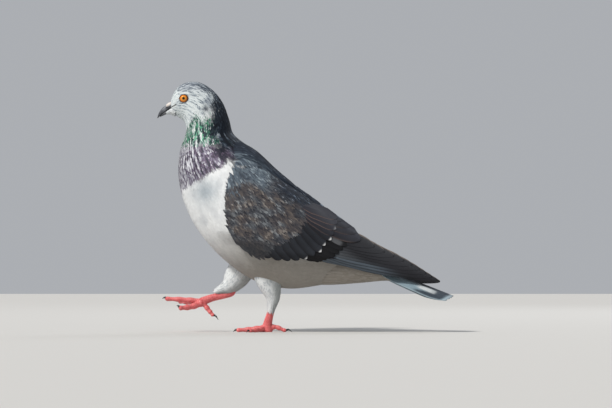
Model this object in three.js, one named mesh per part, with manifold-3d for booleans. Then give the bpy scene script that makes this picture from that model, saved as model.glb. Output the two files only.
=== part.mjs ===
// A life-size feral pigeon, standing on its left foot with the right one lifted for the next step.
//
// Frame: millimetres, +Z up, the bill towards -X, the bird's left side towards -Y.
// The origin lies on the floor, under the centre of the bird's bounding box.
//
// The bird is made of shapes from three.js that a function then moves point by point: a sphere's
// poles become the two ends of the body, a box becomes a folded wing. manifold-3d parts the body
// into head, neck and trunk with thin cuts and seats each piece against its neighbour.
import * as THREE from "three";
import { mergeVertices } from "three/addons/utils/BufferGeometryUtils.js";
import Module from "manifold-3d";

const wasm = await Module();
wasm.setup();

// ---------- driving dimensions ----------
const GAP = 0.3; // the space between two pieces that touch
const LEFT = -1; // the side that a paired piece lies on, as the sign of its y
const RIGHT = 1;
const sideName = (side) => (side === LEFT ? "left" : "right");

// The body from the bill's root to the tail's root. Each row is one cross-section: its point on
// the back (x, z), its point on the belly (x, z), its half width, and how far up from the belly
// its widest place lies, as a share of its depth.
const BODY_SECTIONS = [
  [-127.2, 217.6, -126.6, 207.2, 4.8, 0.5], // bill's root
  [-121.9, 229.2, -119.9, 202.6, 10.6, 0.5], // forehead and chin
  [-112.5, 235.0, -114.6, 198.6, 13.4, 0.5], // crown, over the eye
  [-100.0, 235.2, -112.6, 193.4, 15.2, 0.5], // back of the crown
  [-87.0, 227.4, -112.4, 189.2, 16.4, 0.5], // nape
  [-77.8, 215.4, -113.0, 185.6, 17.4, 0.5], // top of the neck
  [-72.0, 200.0, -115.3, 179.4, 19.4, 0.5], // middle of the neck
  [-68.2, 187.0, -118.0, 170.0, 24.0, 0.5], // foot of the neck
  [-58.8, 178.4, -119.4, 157.0, 31.5, 0.5], // crop
  [-44.6, 169.0, -118.8, 141.5, 38.6, 0.5], // shoulders
  [-27.0, 152.6, -114.0, 121.6, 43.0, 0.5], // breast
  [-10.0, 138.0, -102.4, 98.0, 44.6, 0.5], // deepest place
  [8.0, 120.5, -80.6, 71.8, 43.4, 0.5], // keel
  [26.0, 104.5, -50.0, 49.4, 39.0, 0.5], // belly
  [40.0, 92.5, -17.0, 40.8, 31.0, 0.5], // vent
  [51.0, 82.5, 18.0, 44.6, 22.0, 0.5], // rump
  [60.0, 72.0, 50.0, 50.5, 11.0, 0.5], // tail's root
];
const HEAD_CUT = 4.35; // the row, and share of a row, where the head meets the neck
const NECK_CUT = 8.1; // where the neck meets the trunk

// The eye.
const EYE = new THREE.Vector3(-114.1, 9.3, 218.7);
const EYE_RADIUS = new THREE.Vector3(4.9, 4.7, 4.9);

// The bill: upper line (x, z), lower line (x, z) and half width, from the root to the tip.
const UPPER_BILL = [
  [-121.0, 217.4, -121.0, 213.6, 4.4],
  [-127.0, 216.0, -126.0, 211.5, 4.2],
  [-132.2, 213.4, -130.0, 208.9, 3.2],
  [-136.2, 209.6, -134.0, 206.2, 2.3],
  [-138.9, 205.4, -137.4, 203.7, 1.4],
  [-139.9, 202.0, -139.3, 201.8, 0.5],
];
const LOWER_BILL = [
  [-121.0, 213.1, -121.0, 206.8, 4.2],
  [-126.0, 211.0, -126.4, 206.2, 3.8],
  [-130.0, 208.4, -130.8, 205.2, 2.8],
  [-134.0, 205.7, -134.4, 203.7, 1.8],
  [-137.1, 203.3, -137.3, 202.4, 0.7],
];
const CERE = { x: -128.9, y: 1.8, z: 214.5, length: 4.2, width: 2.6, height: 2.3, slope: 0.72 };

// The folded wing in side view: its upper and lower edges (x, z), from the wrist to the tip.
const WING_TOP = [
  [-70.0, 153.0],
  [-59.0, 163.0],
  [-44.0, 161.0],
  [-24.0, 147.6],
  [-2.0, 133.8],
  [23.0, 115.0],
  [48.0, 96.6],
  [70.0, 82.4],
  [98.0, 70.6],
  [128.0, 52.6],
];
const WING_BOTTOM = [
  [-76.6, 117.0],
  [-75.6, 102.3],
  [-67.0, 84.8],
  [-51.5, 72.1],
  [-29.7, 65.5],
  [-2.0, 65.9],
  [29.2, 62.4],
  [62.8, 54.4],
  [96.0, 50.0],
  [127.6, 48.6],
];
// How far the wing's two edges stand off the midplane, from the wrist to the tip, where the body
// doesn't hold them further out.
const WING_TOP_REACH = [30, 24, 19, 13, 7, 2.4, 1.6, 1.4, 1.4, 2.6];
const WING_BOTTOM_REACH = [37, 39, 41, 42.5, 42, 40.5, 36, 28, 19.5, 8.5];
const WING_THICKNESS = [4.4, 4.8, 5.0, 5.0, 5.0, 4.6, 4.0, 3.2, 2.4, 1.4];
const WING_EDGE = 0.9; // thickness left at the wing's rim
const WING_CLEARANCE = 1.3; // the space between the wing and the flank beneath it
const WRIST_BULGE = 1.6; // how far the front edge bows forwards between its two ends
const PRIMARIES_CUT = 0.56; // share of the wing's length where the long flight feathers show
const PRIMARIES_GAP = 0.0016; // the space there, as a share of the wing's length

// The closed tail: a sheet arched from side to side.
const TAIL = {
  root: new THREE.Vector3(40, 0, 70.5),
  tip: new THREE.Vector3(139.7, 0, 32.9),
  rootHalfWidth: 13,
  tipHalfWidth: 24.5,
  rootThickness: 5.0,
  tipThickness: 1.8,
  arch: 3.2,
  roundness: 10, // how far the outer corners fall short of the middle
};

// ---------- small mathematics ----------
const clamp01 = (t) => Math.min(1, Math.max(0, t));
const smooth = (t) => clamp01(t) ** 2 * (3 - 2 * clamp01(t));
const mix = (a, b, t) => a + (b - a) * t;

// A smooth curve through a list of (first, second) pairs; t runs from 0 to 1 over the list.
const pairCurve = (pairs) => new THREE.SplineCurve(pairs.map(([a, b]) => new THREE.Vector2(a, b)));
const numberCurve = (values) => {
  const curve = pairCurve(values.map((v) => [v, 0]));
  return (t) => curve.getPoint(t).x;
};

// ---------- solids ----------
// A three.js geometry whose every point is moved by place(point), as a manifold-3d solid.
function solidFrom(geometry, place) {
  const positions = geometry.attributes.position;
  const point = new THREE.Vector3();
  for (let i = 0; i < positions.count; i++) {
    place(point.fromBufferAttribute(positions, i));
    positions.setXYZ(i, point.x, point.y, point.z);
  }
  geometry.deleteAttribute("normal");
  geometry.deleteAttribute("uv");
  const merged = mergeVertices(geometry, 1e-3);
  const build = (triVerts) =>
    new wasm.Manifold(
      new wasm.Mesh({ numProp: 3, vertProperties: merged.attributes.position.array, triVerts }),
    );
  const faces = new Uint32Array(merged.index.array);
  const solid = build(faces);
  return solid.volume() > 0 ? solid : build(faces.reverse());
}

function geometryFrom(solid) {
  const mesh = solid.getMesh();
  const geometry = new THREE.BufferGeometry();
  geometry.setAttribute("position", new THREE.Float32BufferAttribute(mesh.vertProperties, 3));
  geometry.setIndex(Array.from(mesh.triVerts));
  geometry.computeVertexNormals();
  return geometry;
}

// The larger of the bodies that a cut has left.
const largest = (solid) =>
  solid.decompose().reduce((most, piece) => (piece.volume() > most.volume() ? piece : most));

// A closed surface carried along sections: sectionAt(t, angle) gives a point for t from 0 to 1
// along the piece and an angle round it, and the two ends are closed by flat fans.
function loft(sectionAt, along, around) {
  const sphere = new THREE.SphereGeometry(1, around, along + 2);
  const rows = along + 2;
  return solidFrom(sphere, (p) => {
    const row = Math.round((Math.acos(THREE.MathUtils.clamp(p.y, -1, 1)) / Math.PI) * rows);
    const angle = Math.atan2(p.z, p.x);
    const t = clamp01((row - 1) / along);
    if (row > 0 && row < rows) {
      sectionAt(t, angle, p);
      return;
    }
    const a = new THREE.Vector3();
    sectionAt(t, 0, a);
    sectionAt(t, Math.PI, p);
    p.lerp(a, 0.5);
  });
}

// A tapering limb along a smooth path. Each stop gives a centre, a half height and a half width.
// Nothing reaches below the floor, which flattens the sole of a standing foot. grow makes the limb
// larger all round, its two ends included.
function limb(stops, along, around, grow = 0) {
  const path = new THREE.CatmullRomCurve3(
    stops.map((stop) => new THREE.Vector3(...stop.at)),
    false,
    "catmullrom",
    0.5,
  );
  const heights = numberCurve(stops.map((stop) => stop.high));
  const widths = numberCurve(stops.map((stop) => stop.wide));
  const up = new THREE.Vector3();
  const across = new THREE.Vector3();
  return loft(
    (t, angle, p) => {
      const forward = path.getTangent(t);
      across.crossVectors(forward, new THREE.Vector3(0, 0, 1));
      if (across.length() < 0.2) across.set(0, 1, 0);
      across.normalize();
      up.crossVectors(across, forward).normalize();
      p.copy(path.getPoint(t));
      if (t === 0) p.addScaledVector(forward, -grow);
      if (t === 1) p.addScaledVector(forward, grow);
      p.addScaledVector(up, (heights(t) + grow) * Math.cos(angle));
      p.addScaledVector(across, (widths(t) + grow) * Math.sin(angle));
      p.z = Math.max(p.z, -grow);
    },
    along,
    around,
  );
}

// ---------- the body ----------
const backLine = pairCurve(BODY_SECTIONS.map((row) => [row[0], row[1]]));
const bellyLine = pairCurve(BODY_SECTIONS.map((row) => [row[2], row[3]]));
const girthLine = pairCurve(BODY_SECTIONS.map((row) => [row[4], row[5]]));
const rowShare = (row) => row / (BODY_SECTIONS.length - 1);

// A section is two half ellipses that meet at its widest level: from the back, at angle 0, down
// to the belly, at half a turn. grow makes it larger all round.
function bodySection(t, angle, grow, p) {
  const back = backLine.getPoint(t);
  const belly = bellyLine.getPoint(t);
  const { x: halfWidth, y: level } = girthLine.getPoint(t);
  const depth = back.distanceTo(belly);
  const upward = back.clone().sub(belly).divideScalar(depth);
  const widest = belly.clone().addScaledVector(upward, depth * level);
  const rise = Math.cos(angle) > 0 ? depth * (1 - level) : depth * level;
  widest.addScaledVector(upward, (rise + grow) * Math.cos(angle));
  p.set(widest.x, (halfWidth + grow) * Math.sin(angle), widest.y);
}

const bodySolid = (grow, along, around) =>
  loft((t, angle, p) => bodySection(t, angle, grow, p), along, around);

// The body's half width where a line across the bird, at (x, z) in side view, meets its flank,
// or 0 where it misses.
function bodyReach(x, z) {
  const aside = (t) => {
    const back = backLine.getPoint(t);
    const belly = bellyLine.getPoint(t);
    return (back.x - belly.x) * (z - belly.y) - (back.y - belly.y) * (x - belly.x);
  };
  const STEPS = 160;
  const SHOULDER = rowShare(6); // wings and legs never lie ahead of this
  for (let i = 0; i < STEPS; i++) {
    let low = mix(SHOULDER, 1, i / STEPS);
    let high = mix(SHOULDER, 1, (i + 1) / STEPS);
    if (aside(low) * aside(high) > 0) continue;
    for (let k = 0; k < 20; k++) {
      const middle = (low + high) / 2;
      if (aside(low) * aside(middle) <= 0) high = middle;
      else low = middle;
    }
    const back = backLine.getPoint(low);
    const belly = bellyLine.getPoint(low);
    const girth = girthLine.getPoint(low);
    const share = Math.hypot(x - belly.x, z - belly.y) / back.distanceTo(belly);
    const below = (x - belly.x) * (back.x - belly.x) + (z - belly.y) * (back.y - belly.y) < 0;
    if (below || share > 1) continue;
    const level = girth.y;
    const off = share > level ? (share - level) / (1 - level) : (level - share) / level;
    return girth.x * Math.sqrt(Math.max(0, 1 - off * off));
  }
  return 0;
}

// A thin slab across the body along the section at a row, which parts what it goes through.
function sectionCut(row) {
  const back = backLine.getPoint(rowShare(row));
  const belly = bellyLine.getPoint(rowShare(row));
  const slope = Math.atan2(back.y - belly.y, back.x - belly.x);
  const REACH = 160;
  return solidFrom(new THREE.BoxGeometry(REACH, REACH, GAP), (p) => {
    p.applyAxisAngle(new THREE.Vector3(0, 1, 0), -slope);
    p.add(new THREE.Vector3((back.x + belly.x) / 2, 0, (back.y + belly.y) / 2));
  });
}

// ---------- wings ----------
const wingTop = pairCurve(WING_TOP);
const wingBottom = pairCurve(WING_BOTTOM);
const topReach = numberCurve(WING_TOP_REACH);
const bottomReach = numberCurve(WING_BOTTOM_REACH);
const wingThickness = numberCurve(WING_THICKNESS);

// A point of the folded wing. along runs from the wrist, 0, to the tip, 1; across from the upper
// edge, 0, to the lower edge, 1; out from the inner face, 0, to the outer face, 1.
function wingPoint(side, along, across, out, p) {
  const top = wingTop.getPoint(along);
  const bottom = wingBottom.getPoint(along);
  const x = mix(top.x, bottom.x, across);
  const z = mix(top.y, bottom.y, across);
  const bow = WRIST_BULGE * Math.sin(Math.PI * across) * (1 - smooth(along / 0.25));
  const fold = mix(topReach(along), bottomReach(along), Math.sin((across * Math.PI) / 2));
  const onBody = bodyReach(x - bow, z) + WING_CLEARANCE;
  const inner = (fold + onBody + Math.sqrt((fold - onBody) ** 2 + 4)) / 2;
  const rim = smooth(across / 0.14) * smooth((1 - across) / 0.14) * smooth(along / 0.1);
  const thickness = WING_EDGE + (wingThickness(along) - WING_EDGE) * rim * smooth((1 - along) / 0.06);
  p.set(x - bow, side * (inner + thickness * out), z);
}

function wingSolid(side, from, to, alongSteps) {
  return solidFrom(new THREE.BoxGeometry(1, 1, 1, alongSteps, 1, 9), (p) =>
    wingPoint(side, mix(from, to, p.x + 0.5), p.z + 0.5, p.y + 0.5, p),
  );
}

// ---------- tail ----------
function tailSolid() {
  return solidFrom(new THREE.BoxGeometry(1, 1, 1, 8, 1, 8), (p) => {
    const along = p.x + 0.5;
    const across = p.z * 2;
    const thickness = mix(TAIL.rootThickness, TAIL.tipThickness, along);
    const halfWidth = mix(TAIL.rootHalfWidth, TAIL.tipHalfWidth, smooth(along * 1.1));
    const shortfall = TAIL.roundness * Math.abs(across) ** 3 * along;
    const arch = TAIL.arch * across * across * mix(0.6, 1, along);
    const height = p.y * thickness - arch;
    p.copy(TAIL.root).lerp(TAIL.tip, along);
    p.x -= shortfall;
    p.y = halfWidth * across;
    p.z += height;
  });
}

// ---------- head ----------
const eyeBall = (side, grow) =>
  solidFrom(new THREE.SphereGeometry(1, 14, 10), (p) => {
    p.set(p.x * (EYE_RADIUS.x + grow), p.y * (EYE_RADIUS.y + grow), p.z * (EYE_RADIUS.z + grow));
    p.add(new THREE.Vector3(EYE.x, side * EYE.y, EYE.z));
  });

function billHalf(rows) {
  const top = pairCurve(rows.map((row) => [row[0], row[1]]));
  const bottom = pairCurve(rows.map((row) => [row[2], row[3]]));
  const width = numberCurve(rows.map((row) => row[4]));
  return loft(
    (t, angle, p) => {
      const a = top.getPoint(t);
      const b = bottom.getPoint(t);
      const rise = (Math.cos(angle) + 1) / 2;
      p.set(mix(b.x, a.x, rise), width(t) * Math.sin(angle), mix(b.y, a.y, rise));
    },
    8,
    12,
  );
}

// One of the two white lobes over the nostrils.
const cereLobe = (side, grow) =>
  solidFrom(new THREE.SphereGeometry(1, 12, 8), (p) => {
    p.set(p.x * (CERE.length + grow), p.y * (CERE.width + grow), p.z * (CERE.height + grow));
    p.applyAxisAngle(new THREE.Vector3(0, 1, 0), -CERE.slope);
    p.add(new THREE.Vector3(CERE.x, side * CERE.y, CERE.z));
  });

// ---------- legs ----------
// Each leg is a chain of limbs. The thigh is the feathered shin that shows below the belly, the
// shank is the scaly leg below the heel, and four toes, each with a claw, spring from its foot.
const STANDING = {
  side: LEFT,
  thigh: [
    { at: [-39, -16, 66], high: 13, wide: 10 },
    { at: [-36.4, -13.4, 53], high: 12.0, wide: 9.4 },
    { at: [-32.8, -10.8, 42], high: 8.4, wide: 7.2 },
    { at: [-30.6, -8.6, 33], high: 5.4, wide: 5.2 },
    { at: [-32.0, -6.2, 23.5], high: 3.6, wide: 4.0 },
  ],
  shank: [
    { at: [-25.2, -9.2, 38], high: 2.8, wide: 3.0 },
    { at: [-27.6, -7.8, 29], high: 3.8, wide: 3.2 },
    { at: [-32.6, -4.6, 17.5], high: 3.5, wide: 3.2 },
    { at: [-35.2, -2.6, 8.0], high: 4.2, wide: 3.9 },
    { at: [-35.8, -2.0, 1.4], high: 5.2, wide: 4.6 },
    { at: [-35.8, -2.0, -2.4], high: 3.2, wide: 3.0 },
  ],
  foot: [-36.0, -1.8],
  toes: [
    { reach: 17.2, turn: 184, lift: 2.6, thick: 2.2, claw: 6.6 },
    { reach: 20.0, turn: 44, lift: 0.3, thick: 2.2, claw: 4.6 },
    { reach: 27.2, turn: 2, lift: 0.3, thick: 2.5, claw: 4.6 },
    { reach: 21.5, turn: -44, lift: 0.3, thick: 2.2, claw: 4.4 },
  ],
};
// The lifted foot's toes hang loosely, so each one gives the points that it passes.
const LIFTED = {
  side: RIGHT,
  thigh: [
    { at: [-51, 16, 74], high: 14, wide: 10 },
    { at: [-59, 14.8, 61], high: 13, wide: 9.4 },
    { at: [-66.4, 13.2, 50], high: 11.4, wide: 8.2 },
    { at: [-73.0, 12.2, 42.6], high: 7.6, wide: 6.2 },
    { at: [-82.8, 11.4, 38.4], high: 3.7, wide: 4.2 },
  ],
  shank: [
    { at: [-67.6, 12, 34.8], high: 2.6, wide: 2.8 },
    { at: [-76, 11.6, 34.6], high: 3.3, wide: 3.0 },
    { at: [-87, 11, 32.2], high: 3.5, wide: 3.1 },
    { at: [-97, 10.4, 28.8], high: 3.9, wide: 3.8 },
  ],
  toes: [
    {
      path: [[-96, 9.2, 26.4], [-91.2, 8.4, 20.4], [-87.0, 7.8, 15.4]],
      thick: 2.2,
      claw: [5, 0, -4.4],
    },
    {
      path: [[-98, 8.4, 26.6], [-108, 4.8, 23.6], [-117.8, 1.4, 22.4]],
      thick: 2.3,
      claw: [-3.2, -1, 2.2],
    },
    {
      path: [[-98, 10.6, 28.4], [-114, 11.0, 30.0], [-130.8, 11.4, 31.0]],
      thick: 2.5,
      claw: [-4.6, 0, 0.2],
    },
    {
      path: [[-98, 12.4, 27.6], [-110, 16.8, 27.6], [-119.6, 20.4, 28.2]],
      thick: 2.2,
      claw: [-3.8, 1.4, 0.4],
    },
  ],
};
const TOE_NAMES = ["hind_toe", "inner_toe", "middle_toe", "outer_toe"];

// Lays a toe of the standing foot out from the foot's middle and down to the floor: the points
// that it passes, and the way that its claw points.
function layOnFloor(foot, toe) {
  const turn = THREE.MathUtils.degToRad(toe.turn);
  const ahead = [-Math.cos(turn), Math.sin(turn)];
  const at = (share, z) => [
    foot[0] + ahead[0] * toe.reach * share,
    foot[1] + ahead[1] * toe.reach * share,
    z,
  ];
  return {
    path: [at(0.1, 4.0), at(0.5, toe.thick * 0.9 + toe.lift), at(1, toe.thick * 0.6)],
    claw: [ahead[0] * toe.claw, ahead[1] * toe.claw, -toe.thick * 0.6],
  };
}

function toeSolid(path, thick, grow = 0) {
  const taper = [1.12, 1.0, 0.8];
  const stops = path.map((at, i) => ({ at, high: thick * taper[i], wide: thick * taper[i] }));
  return limb(stops, 5, 8, grow);
}

// A claw is a short bent cone from the toe's end, in the direction given.
function clawSolid(root, direction, thick) {
  const base = new THREE.Vector3(...root);
  const way = new THREE.Vector3(...direction);
  const bend = base.clone().addScaledVector(way, 0.5);
  bend.z += 0.2 * way.length();
  const tip = base.clone().add(way);
  const stops = [
    { at: base.toArray(), high: thick * 0.62, wide: thick * 0.52 },
    { at: bend.toArray(), high: thick * 0.5, wide: thick * 0.36 },
    { at: tip.toArray(), high: 0.28, wide: 0.25 },
  ];
  return limb(stops, 3, 6);
}

// ---------- colours and finishes ----------
const finish = (color, roughness, metalness = 0) =>
  new THREE.MeshStandardMaterial({ color, roughness, metalness });
const HEAD_GREY = finish(0xb9bcc0, 0.85);
const NECK_GREEN = finish(0x5f7a70, 0.55, 0.15);
const BREAST_WHITE = finish(0xd9d9d6, 0.9);
const WING_SLATE = finish(0x4a4a4e, 0.85);
const QUILL_BLACK = finish(0x3a393c, 0.7);
const TAIL_SLATE = finish(0x6c7680, 0.75);
const SHIN_WHITE = finish(0xdcdedd, 0.9);
const LEG_RED = finish(0xd9696b, 0.6);
const CLAW_BLACK = finish(0x2c2b2d, 0.4);
const BILL_GREY = finish(0x3b3f44, 0.45);
const CERE_WHITE = finish(0xe6ddd6, 0.8);
const EYE_ORANGE = finish(0xd9731f, 0.1);

// Each region of the bird is a group that stands where it hinges on the rest in life, so that its
// meshes hold their points relative to that place.
const pigeon = new THREE.Group();

function region(parent, x, y, z) {
  const group = new THREE.Group();
  group.position.set(x, y, z);
  parent.add(group);
  return group;
}

function addPart(group, name, solid, material) {
  const mesh = new THREE.Mesh(geometryFrom(solid), material);
  const { x, y, z } = group.position;
  mesh.geometry.translate(-x, -y, -z);
  mesh.name = name;
  group.add(mesh);
}

// ---------- assembly ----------
const body = bodySolid(0, 38, 20);
const grownBody = bodySolid(GAP, 38, 20);

// Wings, parted where the long flight feathers leave the shorter feathers that cover them.
for (const side of [LEFT, RIGHT]) {
  const wing = region(pigeon, -55, side * 34, 140);
  const shield = wingSolid(side, 0, PRIMARIES_CUT, 12);
  const primaries = wingSolid(side, PRIMARIES_CUT + PRIMARIES_GAP, 1, 8);
  addPart(wing, `wing_${sideName(side)}`, shield, WING_SLATE);
  addPart(wing, `primaries_${sideName(side)}`, primaries, QUILL_BLACK);
}

// Legs, seated in the belly.
for (const leg of [STANDING, LIFTED]) {
  const name = sideName(leg.side);
  const limbs = region(pigeon, ...leg.thigh[0].at);
  const grownShank = limb(leg.shank, 7, 10, GAP);
  const thigh = limb(leg.thigh, 7, 12).subtract(grownBody).subtract(grownShank);
  const shank = limb(leg.shank, 7, 10).subtract(grownBody);
  addPart(limbs, `thigh_${name}`, largest(thigh), SHIN_WHITE);
  addPart(limbs, `shank_${name}`, largest(shank), LEG_RED);

  let taken = grownShank; // what the next toe has to keep clear of
  leg.toes.forEach((toe, i) => {
    const { path, claw } = leg === STANDING ? layOnFloor(leg.foot, toe) : toe;
    const grownToe = toeSolid(path, toe.thick, GAP);
    const nail = clawSolid(path[path.length - 1], claw, toe.thick).subtract(grownToe);
    addPart(limbs, `${TOE_NAMES[i]}_${name}`, largest(toeSolid(path, toe.thick).subtract(taken)), LEG_RED);
    addPart(limbs, `${TOE_NAMES[i]}_claw_${name}`, largest(nail), CLAW_BLACK);
    taken = taken.add(grownToe);
  });
}

// Tail, seated in the rump.
const tail = region(pigeon, ...TAIL.root.toArray());
addPart(tail, "tail", largest(tailSolid().subtract(grownBody)), TAIL_SLATE);

// Head: the bill, the cere and the eyes are seated in it.
const head = region(pigeon, -100, 0, 208);
const cere = cereLobe(LEFT, 0).add(cereLobe(RIGHT, 0)).subtract(grownBody);
const grownCere = cereLobe(LEFT, GAP).add(cereLobe(RIGHT, GAP));
const upperBill = billHalf(UPPER_BILL).subtract(grownBody).subtract(grownCere);
const lowerBill = billHalf(LOWER_BILL).subtract(grownBody);
addPart(head, "cere", largest(cere), CERE_WHITE);
addPart(head, "bill_upper", largest(upperBill), BILL_GREY);
addPart(head, "bill_lower", largest(lowerBill), BILL_GREY);
addPart(head, "eye_left", eyeBall(LEFT, 0), EYE_ORANGE);
addPart(head, "eye_right", eyeBall(RIGHT, 0), EYE_ORANGE);

// The body, parted into head, neck and trunk.
const parted = body
  .subtract(eyeBall(LEFT, GAP))
  .subtract(eyeBall(RIGHT, GAP))
  .subtract(sectionCut(HEAD_CUT))
  .subtract(sectionCut(NECK_CUT))
  .decompose()
  .sort((a, b) => b.boundingBox().max[2] - a.boundingBox().max[2]);
addPart(head, "head", parted[0], HEAD_GREY);
addPart(pigeon, "neck", parted[1], NECK_GREEN);
addPart(pigeon, "trunk", parted[2], BREAST_WHITE);

export default pigeon;
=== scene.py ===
# %% [markdown]
# # A pigeon in mid-stride
#
# This notebook dresses a plain construction model of a feral pigeon as a museum would: skin first, then
# every feather tract laid over it, then the horn, the eyes and the scaly feet. Lengths are in millimetres
# while a shape is worked out, and become metres when it is put into a mesh. The bill points to -X, the
# bird's left side to -Y, and the floor is at height 0.

import math
import bmesh
import bpy
import numpy as np
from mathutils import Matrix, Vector
from numpy.random import default_rng


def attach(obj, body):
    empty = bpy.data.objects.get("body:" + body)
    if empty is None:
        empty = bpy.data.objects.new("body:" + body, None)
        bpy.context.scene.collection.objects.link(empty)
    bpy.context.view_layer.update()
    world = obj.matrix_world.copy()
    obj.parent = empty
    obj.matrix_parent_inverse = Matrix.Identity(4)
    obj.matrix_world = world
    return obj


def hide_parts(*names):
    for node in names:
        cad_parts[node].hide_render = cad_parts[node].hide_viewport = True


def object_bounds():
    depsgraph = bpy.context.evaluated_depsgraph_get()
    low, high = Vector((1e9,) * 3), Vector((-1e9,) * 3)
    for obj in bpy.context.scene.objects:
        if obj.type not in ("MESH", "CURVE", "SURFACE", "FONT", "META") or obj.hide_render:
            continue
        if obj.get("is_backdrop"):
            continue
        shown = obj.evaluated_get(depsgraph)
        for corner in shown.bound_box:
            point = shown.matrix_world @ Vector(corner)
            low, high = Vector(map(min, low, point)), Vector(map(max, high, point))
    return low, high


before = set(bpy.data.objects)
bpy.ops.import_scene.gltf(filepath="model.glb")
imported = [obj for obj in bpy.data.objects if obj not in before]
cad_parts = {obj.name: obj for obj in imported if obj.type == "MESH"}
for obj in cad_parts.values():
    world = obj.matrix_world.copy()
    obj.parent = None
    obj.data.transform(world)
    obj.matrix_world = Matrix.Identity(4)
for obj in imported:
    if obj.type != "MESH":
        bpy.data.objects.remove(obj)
cad_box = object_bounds()
print("nodes:", len(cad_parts), "box:", cad_box)

MM = 0.001  # one millimetre in Blender's metres
LEFT, RIGHT = -1, 1  # a side of the bird, as the sign of its y
SIDES = {"left": LEFT, "right": RIGHT}
SKIN_SEED = 20  # each piece draws from a fixed seed of its own, so every run makes the same bird

# %% [markdown]
# ## Curves, blends and speckle
#
# A bird has no straight lines, so nearly every measure here is a smooth curve through a few rows of
# numbers. One spline function serves for all of them. The speckle function gives soft, repeatable
# blotches: it adds sine waves that run in scattered directions, which needs no stored picture.

# %% Small mathematics


def spline(rows, t):
    """A cubic between each two rows, whose slope at a row is half the step between that row's neighbours.
    t runs from 0 at the first row to 1 at the last, and past them the curve goes straight on."""
    rows = np.asarray(rows, float)
    last = len(rows) - 1
    t = np.asarray(t, float)
    inside = np.clip(t, 0, 1)
    i = np.minimum((inside * last).astype(int), last - 1)
    u = (inside * last - i)[..., None]
    before, start, end, after = (rows[np.clip(i + k, 0, last)] for k in (-1, 0, 1, 2))
    leave, arrive = (end - before) / 2, (after - start) / 2
    cubic = (2 * (start - end) + leave + arrive) * u**3 + (3 * (end - start) - 2 * leave - arrive) * u**2
    past = ((t - inside) * last)[..., None]
    onward = np.where(past > 0, rows[-1] - rows[-2], rows[1] - rows[0])
    return cubic + leave * u + start + past * onward


def series(values, t):
    """The same curve through single numbers."""
    return spline(np.asarray(values, float)[:, None], t)[..., 0]


def ease(low, high, x):
    """0 below low, 1 above high, and the S-shaped cubic 3s^2 - 2s^3 between."""
    s = np.clip((x - low) / (high - low), 0, 1)
    return s * s * (3 - 2 * s)


def mix(a, b, share):
    return a + (b - a) * share


def unit(vectors):
    return vectors / np.maximum(np.linalg.norm(vectors, axis=-1, keepdims=True), 1e-9)


def dot(a, b):
    return (a * b).sum(-1)


def speckle(points, size, seed, waves=14):
    """Soft noise from about -1 to 1: sine waves in random directions, about size mm between crests."""
    draw = default_rng(seed)
    ways = unit(draw.normal(size=(waves, 3))) * draw.uniform(0.6, 1.5, (waves, 1)) * 2 * np.pi / size
    phases = draw.uniform(0, 2 * np.pi, waves)
    return np.sin(points @ ways.T + phases).sum(-1) / math.sqrt(waves / 2) / 1.6


def colour(code):
    """Six hex digits of screen colour, as the linear values that shaders use."""
    screen = np.array([int(code[k : k + 2], 16) for k in (0, 2, 4)]) / 255
    return np.where(screen <= 0.04045, screen / 12.92, ((screen + 0.055) / 1.055) ** 2.4)


print("spline through three values, at the middle:", series([0, 1, 4], 0.5))

# %% [markdown]
# ## Putting a shape into a mesh
#
# Arrays go straight into a mesh with foreach_set, far quicker than adding faces one at a time. Each piece
# can carry a colour for every point, in an attribute named Coat, and two maps. OFBake is the unwrap for
# textures. Vane tells how far each point lies across and along its own feather, so that barbs can follow
# it.

# %% Mesh helpers


def grid_faces(rows, columns, closed=False, looped=False):
    """Four-sided faces of a grid of points stored row by row. closed joins the last column to the first,
    and looped the last row to the first."""
    last_row, last_column = rows - (not looped), columns - (not closed)
    r, c = np.meshgrid(np.arange(last_row), np.arange(last_column), indexing="ij")
    here, below, beside = r * columns, (r + 1) % rows * columns, (c + 1) % columns
    return np.stack([here + c, below + c, below + beside, here + beside], -1).reshape(-1, 4)


def blade_faces(count, rows, columns):
    """The faces of many separate grids of the same size, one after the other."""
    first = np.arange(count)[:, None, None] * rows * columns
    return (grid_faces(rows, columns) + first).reshape(-1, 4)


def pairs(a, b):
    """Two arrays as one list of pairs, as a map wants them."""
    return np.stack([a, b], -1).reshape(-1, 2)


def mesh_from(name, points, faces, coat=None, maps=None):
    """A mesh from points in mm and four-sided faces. coat is a colour for each point, and maps a
    dictionary of map name to a pair of numbers for each point."""
    mesh = bpy.data.meshes.new(name)
    mesh.vertices.add(points.size // 3)
    mesh.vertices.foreach_set("co", (points * MM).ravel())
    mesh.loops.add(faces.size)
    mesh.loops.foreach_set("vertex_index", faces.ravel())
    mesh.polygons.add(len(faces))
    mesh.polygons.foreach_set("loop_start", np.arange(0, faces.size, faces.shape[1]))
    for title, values in (maps or {}).items():
        mesh.uv_layers.new(name=title)
        mesh.uv_layers[title].data.foreach_set("uv", values[faces.ravel()].ravel())
    if coat is not None:
        paint(mesh, coat)
    mesh.update(calc_edges=True)
    mesh.validate()
    mesh.polygons.foreach_set("use_smooth", np.ones(len(mesh.polygons), bool))
    return mesh


def paint(mesh, coat, gloss=1.0):
    """Stores a colour for each point of a mesh in its Coat attribute, with the gloss as its alpha."""
    coat = coat.reshape(-1, 3)
    layer = mesh.color_attributes.new("Coat", "FLOAT_COLOR", "POINT")
    layer.data.foreach_set("color", np.c_[coat, np.full(len(coat), gloss)].ravel())


def edited(mesh, change):
    """Hands a mesh to a function that changes its faces, and returns it."""
    work = bmesh.new()
    work.from_mesh(mesh)
    change(work)
    work.to_mesh(mesh)
    work.free()
    return mesh


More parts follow.
